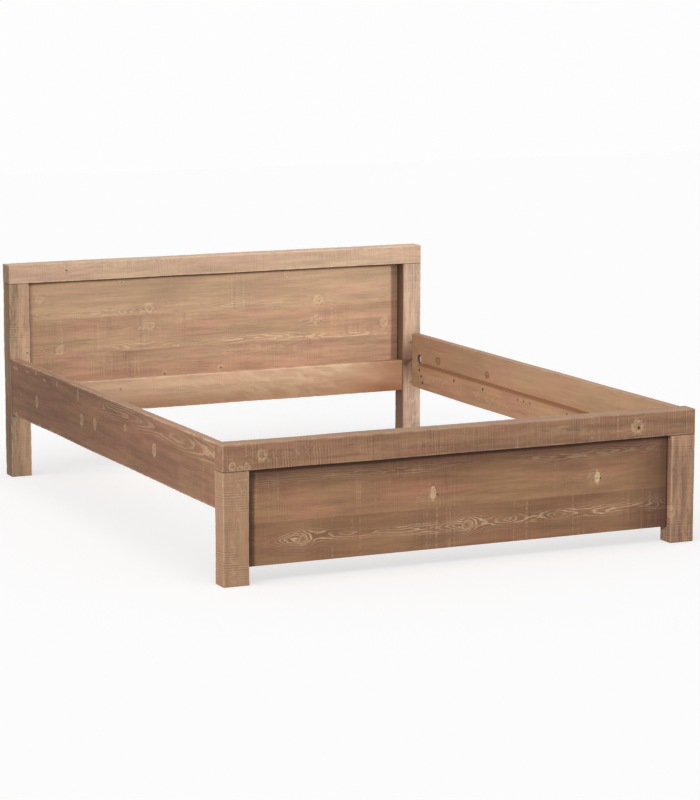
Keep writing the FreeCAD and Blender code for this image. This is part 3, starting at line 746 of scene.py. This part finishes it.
def grain_group():
    """Pattern of stained, rough-sawn softwood from the grain's place and the timber's own fields."""
    group = bpy.data.node_groups.new("rough_sawn_grain", "ShaderNodeTree")
    for side, sockets in (("INPUT", GRAIN_TAKES), ("OUTPUT", GRAIN_GIVES)):
        for kind, names in sockets.items():
            for name in names:
                group.interface.new_socket(name, in_out=side, socket_type=kind)
    net = Wiring(group)
    given = net.add("NodeGroupInput").outputs
    grain = given["Grain"]

    fibre = net.noise(grain, WAVES["fibre"])
    fine_saw = net.noise(grain, WAVES["fine saw"], detail=1.0)
    saw = net.plus(net.field("saw"), net.swing(fine_saw, *SWINGS["fine saw"]))
    ragged = net.noise(grain, WAVES["ragged knot"], detail=3.0, roughness=0.6)
    knot = net.plus(net.field("knot"), net.swing(ragged, *SWINGS["ragged knot"]))
    crack = net.span(net.noise(grain, WAVES["crack"]), *STEPS["crack"])
    crack = net.times(crack, net.fall(knot, *FALLS["crack"]))
    line = late_wood(net, given, knot)

    color = streaked_stain(net, given, fibre)
    color = net.mix(line, color, given["Pale"])
    color = net.mix(curly_waves(net, given), color, given["Pale"])
    color = saw_furrows(net, given, color, saw)
    color = stray_scores(net, given, color)
    color = knot_faces(net, given, color, knot, crack, ragged)
    color = worn_joined_and_shaded(net, given, color)
    marks = {"line": line, "saw": saw, "fibre": fibre, "crack": crack}
    height = net.plus(*(net.times(marks[name], share) for name, share in HEIGHTS.items()))

    result = net.add("NodeGroupOutput").inputs
    net.put(result["Color"], color)
    net.put(result["Roughness"], net.span(fibre, *STEPS["roughness"]))
    net.put(result["Height"], height)
    return group


GRAIN = grain_group()
GRAIN_TURN = {"X": (0, 0, 0), "Y": (0, 0, -math.pi / 2), "Z": (0, math.pi / 2, 0)}
SEED_SHIFT = (3.7, 1.3, 2.1)
BUMP_STRENGTH = 0.45
BUMP_DISTANCE = 0.0005

# Wood under the stain, and how far its pale and dark marks stand from the stain's own colour
PALE_WOOD = (246, 220, 186)
PALE_SHARE = 0.5
KNOT_WOOD = (242, 208, 166)
DARK_SHARES = (0.56, 0.5, 0.5)


def finish_material(name, metallic, specular):
    """A material with one shader whose steady values are set on its own sockets."""
    material = bpy.data.materials.new(name)
    material.use_nodes = True
    shader = material.node_tree.nodes["Principled BSDF"]
    shader.inputs["Metallic"].default_value = metallic
    shader.inputs["Specular IOR Level"].default_value = specular
    return material, Wiring(material.node_tree), shader


def sawn_softwood(timber):
    """Stain of one timber: the shared grain, turned along it and shifted so that no two timbers match."""
    material, net, shader = finish_material(timber.node + "_stain", metallic=0.0, specular=0.25)
    mapping = net.add("ShaderNodeMapping")
    mapping.inputs["Rotation"].default_value = GRAIN_TURN[timber.axis]
    mapping.inputs["Location"].default_value = [timber.seed * shift for shift in SEED_SHIFT]
    net.put(mapping.inputs["Vector"], net.place())
    base = np.array(timber.stain)
    colours = {
        "Stain": base,
        "Pale": base + PALE_SHARE * (np.array(PALE_WOOD) - base),
        "Dark": base * np.array(DARK_SHARES),
        "Knot": base + timber.knot_tone * (np.array(KNOT_WOOD) - base),
        "Pith": base * timber.pith_tone,
        # Colour of the darker patches, most of them painted shade
        "Pool": base * np.array(timber.pool_tone),
    }
    grain = net.add("ShaderNodeGroup", node_tree=GRAIN)
    net.put(grain.inputs["Grain"], mapping.outputs[0])
    for name, colour in colours.items():
        net.put(grain.inputs[name], screen_colour(colour))
    for name in STRENGTHS:
        net.put(grain.inputs[name], getattr(timber, name.lower()))
    bump = net.add("ShaderNodeBump")
    bump.inputs["Strength"].default_value = BUMP_STRENGTH
    bump.inputs["Distance"].default_value = BUMP_DISTANCE
    net.put(bump.inputs["Height"], grain.outputs["Height"])
    net.put(shader.inputs["Base Color"], grain.outputs["Color"])
    net.put(shader.inputs["Roughness"], grain.outputs["Roughness"])
    net.put(shader.inputs["Normal"], bump.outputs[0])
    return material


# Room that a groove leaves past a panel's edge, and how far it stops short of an upright's top
GROOVE_ROOM = 0.002
GROOVE_STOP = 0.003

# Sizes of what is bored into the rails and ledges
POCKET_RADIUS = 0.0175
POCKET_DEPTH = 0.025
POCKET_FROM_END = 0.070
SCREW_RADIUS = 0.0046
SCREW_SINK = 0.0042
BEAM_HOLE_RADIUS = 0.0025
BEAM_HOLE_DEPTH = 0.016
BEAM_HOLE_PITCH = 0.048
BEAM_HOLE_LEVEL = 0.323


def framed_panel(boards, left, right):
    """A panel, from its boards, lowest first, and what its two uprights and its cap need of it.

    Each board's visible box runs up to where the next begins, so tongues stay hidden. Sight is where the
    uprights' inner faces are, and top is where the uprights end. Runs are the grooved stretches, and the
    groove is a hair wider than the boards.
    """
    boxes = [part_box(board) for board in boards]
    for (_, high), (next_low, _) in zip(boxes, boxes[1:]):
        high.z = next_low.z
    low, high = boxes[0][0], boxes[-1][1]
    sight = (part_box(left)[1].x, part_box(right)[0].x)
    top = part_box(left)[1].z
    return SimpleNamespace(boxes=dict(zip(boards, boxes)), sight=sight, top=top,
                           upright_run=(low.z, top - GROOVE_STOP),
                           cap_run=(low.x - GROOVE_ROOM, high.x + GROOVE_ROOM),
                           groove_sides=(low.y - CREASE, high.y + CREASE),
                           groove_depth=high.x - sight[1] + GROOVE_ROOM)


def upright_slot(panel, face):
    """Groove in an upright for a panel's end."""
    return slot_in(face, panel.upright_run, panel.groove_sides, panel.groove_depth)


def cap_slot(panel):
    """Groove in the underside of a cap for a panel's top."""
    return slot_in("low", panel.cap_run, panel.groove_sides, panel.groove_depth)


def node_islands(node, axis):
    """Middles of the separate solids of a fastener node, found by where they lie along one axis."""
    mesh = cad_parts[node].data
    places = np.empty(len(mesh.vertices) * 3)
    mesh.vertices.foreach_get("co", places)
    places = places.reshape(-1, 3)
    places = places[np.argsort(places[:, axis])]
    breaks = np.nonzero(np.diff(places[:, axis]) > SCREW_RADIUS / 2)[0] + 1
    return [(part.min(0) + part.max(0)) / 2 for part in np.split(places, breaks)]


def rail_pockets(face):
    """The two bored pockets on the inside of a side rail, at the levels of the nuts."""
    nuts = node_islands("bed_nuts", 1)
    reach = rail_high.y - POCKET_FROM_END
    return [hole_in(face, place, nut[2], POCKET_RADIUS, POCKET_DEPTH)
            for place, nut in ((-reach, nuts[0]), (reach, nuts[-1]))]


def ledge_holes(face, screws):
    """A ledge's sunk screw holes and the row of three holes for a middle beam's bracket."""
    sunk = [hole_in(face, place[1], place[2], SCREW_RADIUS, SCREW_SINK) for place in node_islands(screws, 1)]
    row = [hole_in(face, number * BEAM_HOLE_PITCH, BEAM_HOLE_LEVEL, BEAM_HOLE_RADIUS, BEAM_HOLE_DEPTH)
           for number in (-1, 0, 1)]
    return sunk + row


def panel_screw_holes():
    """Sunk screw holes in the back of the lowest head board."""
    return [hole_in("back", place[0], place[2], SCREW_RADIUS, SCREW_SINK)
            for place in node_islands("head_panel_screws", 0)]


# What a timber has where its own line says nothing else
PLAIN_TIMBER = {
    "heart": (0.0, 0.06), "lean": 0.0, "dips": (), "dive": 0.014, "ring": 0.0065, "reach": 0.017, "fade": (),
    "figure": 0.4, "saw": 1.0, "streak": 1.0, "rub": 1.0, "smudge": 0.6, "tremble": 0.3, "score": 0.6,
    "flare": 0.3, "curl": (0.0, 1.0, 0.0), "knots": (), "knot_tone": 0.55, "pith_tone": 0.32,
    "pools": (), "pool_tone": (0.42, 0.35, 0.40), "rubs": (), "butts": (), "seam": 0.003, "under": (),
    "slots": (), "holes": (), "bow": 0.0005, "easing": 0.0022, "step": 0.0024,
}
# A board has close-set edges and light saw marks, a ledge is smoother, and a rail has a coarser grid
PLAIN_BOARD = {"rub": 0.1, "bow": 0.0001, "easing": 0.0004, "saw": 0.22, "streak": 0.8, "seam": 0.006,
               "score": 0.85}
PLAIN_LEDGE = {"figure": 0.2, "saw": 0.2, "streak": 0.6, "easing": 0.0015, "step": 0.005, "rub": 0.2,
               "score": 0.1, "pool_tone": (0.66, 0.54, 0.40)}
RAIL_STEP = 0.0032


def sawn_timber(node, axis, colour, seed, **own):
    """What one timber needs: its box, its stain, the tree that it came from and what is cut into it.

    The tree's heart is a place across and through, its dips are a place along, a reach and a depth each,
    the fade runs between two places along, and the curl has a place along, a reach and a strength, all
    measured from the timber's middle. The rest is placed in the bed's frame. Each knot has its place along
    and across, its half height, the pith's share of that and how far it stretches along the grain. A knot
    tone below 0 is darker than the stain. Butts and under are places along and across where other timbers
    meet it, with a dark seam there that is painted shadow under a cap. Darker patches are mostly painted
    shade, and paler patches are partly painted highlight and partly wear.
    """
    known = {"node": node, "axis": axis, "stain": colour, "seed": seed, "box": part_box(node)}
    return SimpleNamespace(**{**known, **PLAIN_TIMBER, **own})


def panel_board(node, colour, seed, panel, **own):
    """A panel's board, with the panel's patches of painted shade, and dark seams that are partly painted
    shade where it meets the uprights.
    """
    shared = {"box": panel.boxes[node], "butts": panel.sight, "pools": panel.pools}
    return sawn_timber(node, "X", colour, seed, **{**shared, **PLAIN_BOARD, **own})


# Panels and places that the timbers share
head = framed_panel(("head_board_lowest", "head_board_lower", "head_board_upper", "head_board_top"),
                    "head_post_left", "head_post_right")
foot = framed_panel(("foot_board_lower", "foot_board_upper"), "foot_leg_left", "foot_leg_right")
rail_low, rail_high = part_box("side_rail_left")
rail_ends = (rail_low.y, rail_high.y)
rail_middle = (rail_low.z + rail_high.z) / 2
head_left_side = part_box("head_post_left")[0].x
head_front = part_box("head_post_right")[0].y
crossrail_low, crossrail_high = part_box("head_crossrail")
crossrail_box = (Vector((head.sight[0], *crossrail_low[1:])), Vector((head.sight[1], *crossrail_high[1:])))

# Darker and paler patches: a strength, then bounds as direction, place and reach. Most darker ones are
# painted shade, and the paler top faces are painted highlight.
# Painted shade on the head cap's left end
head_cap_pools = ((0.4, ("along", head_left_side, 0.005)),)
# The left head post darker towards its foot, and painted shade on its left side face
head_post_left_pools = ((0.3, ("along", 0.0, 0.30)),
                        (0.42, ("across", head_left_side, 0.005)))
# Painted shadow of the right rail on the right head post's front, and painted shade on its inner side face
head_post_right_pools = ((0.95, ("along", rail_middle, 0.15), ("through", head_front, 0.01)),
                         (0.85, ("across", head.sight[1], 0.008)))
# Painted shade on the head boards beside the left post
head.pools = ((0.9, ("along", head.sight[0], 0.035)),)
# The top head board paler towards its top
head_top_rubs = ((0.22, ("across", head.top, 0.16)),)
# The crossrail darker towards its bottom, and painted shadow at its right end, deepest in the lower right
# corner
crossrail_pools = ((0.6, ("across", crossrail_low.z, 0.10)),
                   (0.78, ("along", head.sight[1], 0.28)),
                   (1.0, ("along", head.sight[1], 0.55), ("across", crossrail_low.z, 0.11)))
# Painted highlight on the foot cap's top face and top edge
foot_cap_rubs = ((0.14, ("across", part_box("foot_cap")[1].z, 0.003)),)
# Painted shade on the foot boards: the left leg's shadow, soft shade near the right leg and the cap's shadow
# along the top
foot.pools = ((0.75, ("along", foot.sight[0], 0.038)),
              (0.64, ("along", foot.sight[1], 0.21)),
              (0.65, ("across", foot.top, 0.12)))
# Painted highlight on the left rail's top face, and wear along its bottom edge towards the head
left_rail_rubs = ((0.22, ("across", rail_high.z, 0.003)),
                  (0.45, ("across", rail_low.z, 0.007), ("along", 0.70, 0.34)))
# The right rail darker along its top
right_rail_pools = ((0.3, ("across", rail_high.z, 0.006)),)
# Painted shade on the ledges' top faces under the rails
ledge_pools = ((0.85, ("across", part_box("slat_ledge_left")[1].z, 0.008)),)

TIMBERS = (
    sawn_timber("head_cap", "X", (190, 158, 132), 1, heart=(0.02, 0.09), figure=0.3, saw=0.7, streak=0.6,
                pools=head_cap_pools, knots=((-0.626, 0.769, 0.010, 0.42, 1.1),), slots=(cap_slot(head),)),
    sawn_timber("head_post_left", "Z", (172, 140, 112), 2, heart=(-0.01, 0.07), figure=0.3, streak=1.5,
                pools=head_post_left_pools, pool_tone=(0.50, 0.38, 0.32),
                knots=((0.461, -0.779, 0.017, 0.2, 1.2),),
                butts=(head.top,), slots=(upright_slot(head, "high"),)),
    sawn_timber("head_post_right", "Z", (176, 148, 125), 3, heart=(0.01, 0.08), figure=0.5, saw=0.6,
                streak=1.5, pools=head_post_right_pools, pool_tone=(0.60, 0.50, 0.44),
                butts=(head.top,), slots=(upright_slot(head, "low"),)),
    panel_board("head_board_lowest", (168, 132, 104), 4, head, dive=0.004, holes=panel_screw_holes()),
    panel_board("head_board_lower", (168, 132, 104), 5, head, heart=(0.03, 0.05), dive=0.004, figure=0.2,
                knots=((0.010, 0.357, 0.013, 0.3, 1.0), (-0.221, 0.347, 0.012, 0.35, 1.0))),
    panel_board("head_board_upper", (177, 140, 110), 28, head, heart=(-0.054, -0.004), dive=0.002,
                figure=0.8, knot_tone=0.62, pith_tone=0.6,
                dips=((-0.316, 0.104, 0.018), (0.356, 0.108, 0.018),
                      (0.70, 0.06, 0.016), (-0.76, 0.09, 0.014)),
                knots=((-0.28, 0.533, 0.015, 0.15, 1.4), (0.417, 0.521, 0.014, 0, 1.4),
                       (0.711, 0.493, 0.019, 0, 1.0), (-0.639, 0.462, 0.018, 0, 1.0))),
    panel_board("head_board_top", (180, 146, 115), 7, head, heart=(-0.062, -0.004), dive=0.002, figure=0.5,
                dips=((-0.43, 0.06, 0.013), (0.52, 0.10, 0.014), (-0.76, 0.07, 0.013)),
                rubs=head_top_rubs, under=(head.top,), knot_tone=0.74, pith_tone=0.55,
                knots=((-0.28, 0.602, 0.018, 0.2, 1.0), (-0.391, 0.707, 0.010, 0.35, 1.0),
                       (0.294, 0.704, 0.013, 0.2, 1.0), (0.425, 0.597, 0.018, 0.15, 1.1),
                       (-0.715, 0.658, 0.014, 0, 1.2))),
    sawn_timber("head_crossrail", "X", (184, 150, 120), 8, box=crossrail_box, heart=(0.01, -0.03),
                figure=0.35, saw=0.15, streak=0.6, score=0.15, curl=(0.26, 0.34, 0.44),
                pools=crossrail_pools, pool_tone=(0.74, 0.60, 0.49),
                knots=((-0.417, 0.305, 0.006, 0.5, 1.0),), butts=head.sight, seam=0.004),
    sawn_timber("foot_cap", "X", (132, 98, 75), 9, heart=(0.0, 0.10), figure=0.2, saw=1.1, rub=0.45,
                rubs=foot_cap_rubs, knot_tone=0.6, smudge=0.3,
                knots=((-0.718, 0.411, 0.018, 0, 0.9), (-0.819, 0.381, 0.012, 0, 1.0),
                       (-0.793, 0.374, 0.010, 0, 1.0), (-0.770, 0.378, 0.011, 0, 1.0),
                       (0.628, 0.405, 0.021, 0.28, 1.0)),
                slots=(cap_slot(foot),)),
    sawn_timber("foot_leg_left", "Z", (154, 122, 94), 10, heart=(0.0, 0.10), figure=0.25, saw=0.95,
                streak=0.5, rub=0.5, butts=(foot.top,), slots=(upright_slot(foot, "high"),)),
    sawn_timber("foot_leg_right", "Z", (138, 106, 84), 11, heart=(0.02, 0.07), figure=0.4, streak=1.8,
                rub=0.5, knots=((0.105, 0.763, 0.014, 0, 1.2),),
                butts=(foot.top,), slots=(upright_slot(foot, "low"),)),
    panel_board("foot_board_lower", (130, 95, 70), 38, foot, heart=(0.0065, -0.010), dive=0.011, figure=1.0,
                flare=1.0, smudge=0.5,
                knots=((-0.567, 0.123, 0.016, 0, 1.0), (0.014, 0.121, 0.017, 0, 1.0),
                       (0.720, 0.146, 0.009, 0, 1.0))),
    panel_board("foot_board_upper", (143, 106, 78), 31, foot, heart=(0.042, -0.010), dive=0.011, figure=0.6,
                under=(foot.top,), knot_tone=1.0,
                knots=((-0.110, 0.237, 0.022, 0.15, 0.45), (0.494, 0.242, 0.020, 0.17, 0.45))),
    sawn_timber("side_rail_left", "Y", (140, 102, 78), 14, heart=(0.070, -0.020), lean=0.036, dive=0.004,
                ring=0.0085, reach=0.034, fade=(-0.15, 0.35), figure=0.5, tremble=0.14, saw=0.4, streak=0.9,
                score=0.3, rubs=left_rail_rubs, knot_tone=0.82, smudge=0.45,
                knots=((0.715, 0.326, 0.020, 0, 0.7), (0.232, 0.333, 0.021, 0, 0.7),
                       (0.099, 0.339, 0.020, 0, 0.7), (-0.466, 0.339, 0.022, 0, 0.7),
                       (-0.196, 0.371, 0.011, 0.2, 1.0), (0.955, 0.417, 0.006, 0, 4.0),
                       (0.814, 0.424, 0.004, 0, 5.0), (0.720, 0.432, 0.008, 0, 0.8),
                       (0.628, 0.418, 0.004, 0, 5.0), (0.495, 0.424, 0.011, 0, 0.5),
                       (0.271, 0.413, 0.019, 0, 0.4), (0.052, 0.423, 0.006, 0.5, 1.0),
                       (0.950, 0.244, 0.009, 0, 1.6), (0.690, 0.243, 0.007, 0, 1.8),
                       (0.560, 0.242, 0.008, 0, 2.2), (0.490, 0.243, 0.007, 0, 1.8)),
                butts=rail_ends, holes=rail_pockets("back"), step=RAIL_STEP),
    sawn_timber("side_rail_right", "Y", (166, 130, 100), 15, heart=(-0.02, -0.07), figure=0.2, saw=0.2,
                streak=0.4, rub=0.4, score=0.1, pools=right_rail_pools, knot_tone=-0.6, smudge=0.05,
                knots=((0.358, 0.369, 0.012, 0.3, 1.2), (0.770, 0.368, 0.014, 0, 1.2)),
                butts=rail_ends, holes=rail_pockets("front"), step=RAIL_STEP),
    sawn_timber("slat_ledge_left", "Y", (164, 124, 94), 16, pools=ledge_pools,
                holes=ledge_holes("back", "ledge_screws_left"), **PLAIN_LEDGE),
    sawn_timber("slat_ledge_right", "Y", (164, 124, 94), 17, heart=(0.0, -0.06), pools=ledge_pools,
                holes=ledge_holes("front", "ledge_screws_right"), **PLAIN_LEDGE),
)

sawn_pieces = {each.node: timber_piece(each) for each in TIMBERS}


def bright_zinc():
    """Zinc plate: pale grey metal, clouded by a fine spangle that is rougher where it is paler."""
    material, net, shader = finish_material("bright_zinc", metallic=0.3, specular=0.6)
    dull, bright = screen_colour((222, 223, 222)), screen_colour((246, 246, 242))
    cloud = net.noise(net.place(), (240, 240, 240), detail=3.0)
    net.put(shader.inputs["Base Color"], net.mix(net.span(cloud, 0.3, 0.7), dull, bright))
    net.put(shader.inputs["Roughness"], net.span(cloud, 0.3, 0.7, 0.24, 0.45))
    return material


def browned_steel():
    """Browned screw steel: dark metal with warmer, rougher patches."""
    material, net, shader = finish_material("browned_steel", metallic=0.6, specular=0.4)
    dark, warm = screen_colour((44, 36, 31)), screen_colour((84, 66, 50))
    patch = net.noise(net.place(), (600, 600, 600), detail=3.0)
    net.put(shader.inputs["Base Color"], net.mix(net.span(patch, 0.35, 0.65), dark, warm))
    net.put(shader.inputs["Roughness"], net.span(patch, 0.3, 0.7, 0.35, 0.6))
    return material


def turned_beech():
    """Beech dowels: pale brown with short, upright dark flecks."""
    material, net, shader = finish_material("turned_beech", metallic=0.0, specular=0.3)
    pale, dark = screen_colour((214, 180, 138)), screen_colour((168, 124, 84))
    fleck = net.noise(net.place(), (700, 700, 120))
    net.put(shader.inputs["Base Color"], net.mix(net.span(fleck, 0.5, 0.65), pale, dark))
    net.put(shader.inputs["Roughness"], net.span(fleck, 0.3, 0.7, 0.5, 0.7))
    return material


HARDWARE = (
    (bright_zinc(), ("bed_nuts", "bed_washers", "bed_studs")),
    (browned_steel(), ("ledge_screws_left", "ledge_screws_right", "head_panel_screws")),
    (turned_beech(), ("head_cap_dowels", "foot_cap_dowels", "rail_dowels")),
)
for material, nodes in HARDWARE:
    for node in nodes:
        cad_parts[node].data.materials.clear()
        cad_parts[node].data.materials.append(material)

# Studio
FLOOR_REACH = 14.0
FLOOR_GREY = 0.55
SHADOW_SHARE = 0.60
BACKGROUND = 0.984
FLOOR_GLOW = 0.50
AMBIENT = 0.36
# Far lamps: turn to the right of the front, height and softness in degrees, then strength
SIDE_LAMP = (-82, 30, 50, 0.45)
TOP_LAMP = (-35, 70, 60, 1.1)
FRONT_LAMP = (-25, 15, 30, 0.35)
BACK_LAMP = (150, 40, 50, 0.6)
# Spot lamps, one for each end of the bed: place, aim, half angle in degrees, softness, radius and power
FOOT_SPOT = ((-8.0, -7.5, 4.2), (0.0, -1.07, 0.25), 6.5, 0.5, 0.5, 3900)
HEAD_SPOT = ((5.2, -5.2, 2.6), (0.0, 1.05, 0.55), 8.7, 0.55, 0.6, 2000)


def seen_directly(net):
    """1 on rays from the camera, mirrors and glass, and 0 on rays that only carry light."""
    path = net.add("ShaderNodeLightPath").outputs
    direct = net.calc("MAXIMUM", path["Is Camera Ray"], path["Is Glossy Ray"])
    return net.calc("MAXIMUM", direct, path["Is Transmission Ray"])


def pale_floor():
    """Grey where it only carries light, and near white with part of the shadow's depth where it is seen."""
    material = bpy.data.materials.new("pale_floor")
    material.use_nodes = True
    net = Wiring(material.node_tree)
    material.node_tree.nodes.clear()
    plain = net.add("ShaderNodeBsdfDiffuse")
    plain.inputs["Color"].default_value = (FLOOR_GREY, FLOOR_GREY, FLOOR_GREY, 1)
    shadow = net.add("ShaderNodeBsdfDiffuse")
    shadow.inputs["Color"].default_value = (SHADOW_SHARE, SHADOW_SHARE, SHADOW_SHARE, 1)
    glow = net.add("ShaderNodeEmission")
    glow.inputs["Strength"].default_value = FLOOR_GLOW
    seen = net.add("ShaderNodeAddShader")
    net.put(seen.inputs[0], shadow.outputs[0])
    net.put(seen.inputs[1], glow.outputs[0])
    either = net.add("ShaderNodeMixShader")
    net.put(either.inputs[0], seen_directly(net))
    net.put(either.inputs[1], plain.outputs[0])
    net.put(either.inputs[2], seen.outputs[0])
    net.put(net.add("ShaderNodeOutputMaterial").inputs["Surface"], either.outputs[0])
    return material


def floor():
    """One large square under the bed."""
    corners = [(FLOOR_REACH * x, FLOOR_REACH * y, 0) for x, y in ((-1, -1), (1, -1), (1, 1), (-1, 1))]
    mesh = bpy.data.meshes.new("floor")
    mesh.from_pydata(corners, [], [(0, 1, 2, 3)])
    mesh.materials.append(pale_floor())
    piece = bpy.data.objects.new("floor", mesh)
    bpy.context.scene.collection.objects.link(piece)
    return piece


def surroundings():
    """White where it is seen, and a softer white where it lights the bed."""
    world = bpy.data.worlds.new("studio")
    bpy.context.scene.world = world
    world.use_nodes = True
    net = Wiring(world.node_tree)
    background = world.node_tree.nodes["Background"]
    background.inputs["Color"].default_value = (1, 1, 1, 1)
    net.put(background.inputs["Strength"], net.span(seen_directly(net), 0.0, 1.0, AMBIENT, BACKGROUND))


def left_out(name, things):
    """A collection of things that a lamp leaves out, from its light or from its shadows."""
    collection = bpy.data.collections.new(name)
    for thing in things:
        collection.objects.link(thing)
    for entry in collection.collection_objects:
        entry.light_linking.link_state = "EXCLUDE"
    return collection


def heading(turn, dip):
    """Direction that looks along the bed, turned to the right and dipped by so many degrees."""
    turn, dip = math.radians(turn), math.radians(dip)
    return Vector((math.sin(turn) * math.cos(dip), math.cos(turn) * math.cos(dip), -math.sin(dip)))


def aimed(name, data, place, forward):
    """A lamp or a lens at its place, looking forward."""
    holder = bpy.data.objects.new(name, data)
    holder.location = place
    holder.rotation_euler = forward.to_track_quat("-Z", "Y").to_euler()
    bpy.context.scene.collection.objects.link(holder)
    return holder


def lamp(name, unlit, turn, height, softness, strength):
    """A soft far lamp, placed by its turn from the bed's front and its height.

    It doesn't light what is in unlit.
    """
    light = bpy.data.lights.new(name, "SUN")
    light.energy = strength
    light.angle = math.radians(softness)
    holder = aimed(name, light, (0, 0, 0), heading(-turn, height))
    holder.light_linking.receiver_collection = unlit


def spot(name, unlit, shadeless, place, aim, half_angle, blend, radius, power):
    """A lamp with a soft-edged cone that lights one end of the bed from far off.

    It doesn't light what is in unlit, and what is in shadeless casts no shadow from it.
    """
    light = bpy.data.lights.new(name, "SPOT")
    light.energy = power
    light.spot_size = 2 * math.radians(half_angle)
    light.spot_blend = blend
    light.shadow_soft_size = radius
    holder = aimed(name, light, place, Vector(aim) - Vector(place))
    holder.visible_camera = False
    holder.light_linking.receiver_collection = unlit
    holder.light_linking.blocker_collection = shadeless


def camera():
    """The photograph's camera, level and looking down a little from the front left."""
    lens = bpy.data.cameras.new("camera")
    lens.sensor_width = SENSOR
    lens.lens = FOCAL_PIXELS * SENSOR / IMAGE_HEIGHT
    bpy.context.scene.camera = aimed("camera", lens, CAMERA_PLACE, heading(CAMERA_TURN, CAMERA_DIP))


floor_left_out = left_out("floor_left_out", [floor()])
rail_left_out = left_out("rail_left_out", [sawn_pieces["side_rail_right"], sawn_pieces["slat_ledge_right"]])
surroundings()
lamp("side_lamp", None, *SIDE_LAMP)
lamp("top_lamp", None, *TOP_LAMP)
lamp("front_lamp", None, *FRONT_LAMP)
lamp("back_lamp", floor_left_out, *BACK_LAMP)
spot("foot_spot", floor_left_out, None, *FOOT_SPOT)
spot("head_spot", floor_left_out, rail_left_out, *HEAD_SPOT)
camera()
bpy.context.scene.view_settings.view_transform = "Standard"
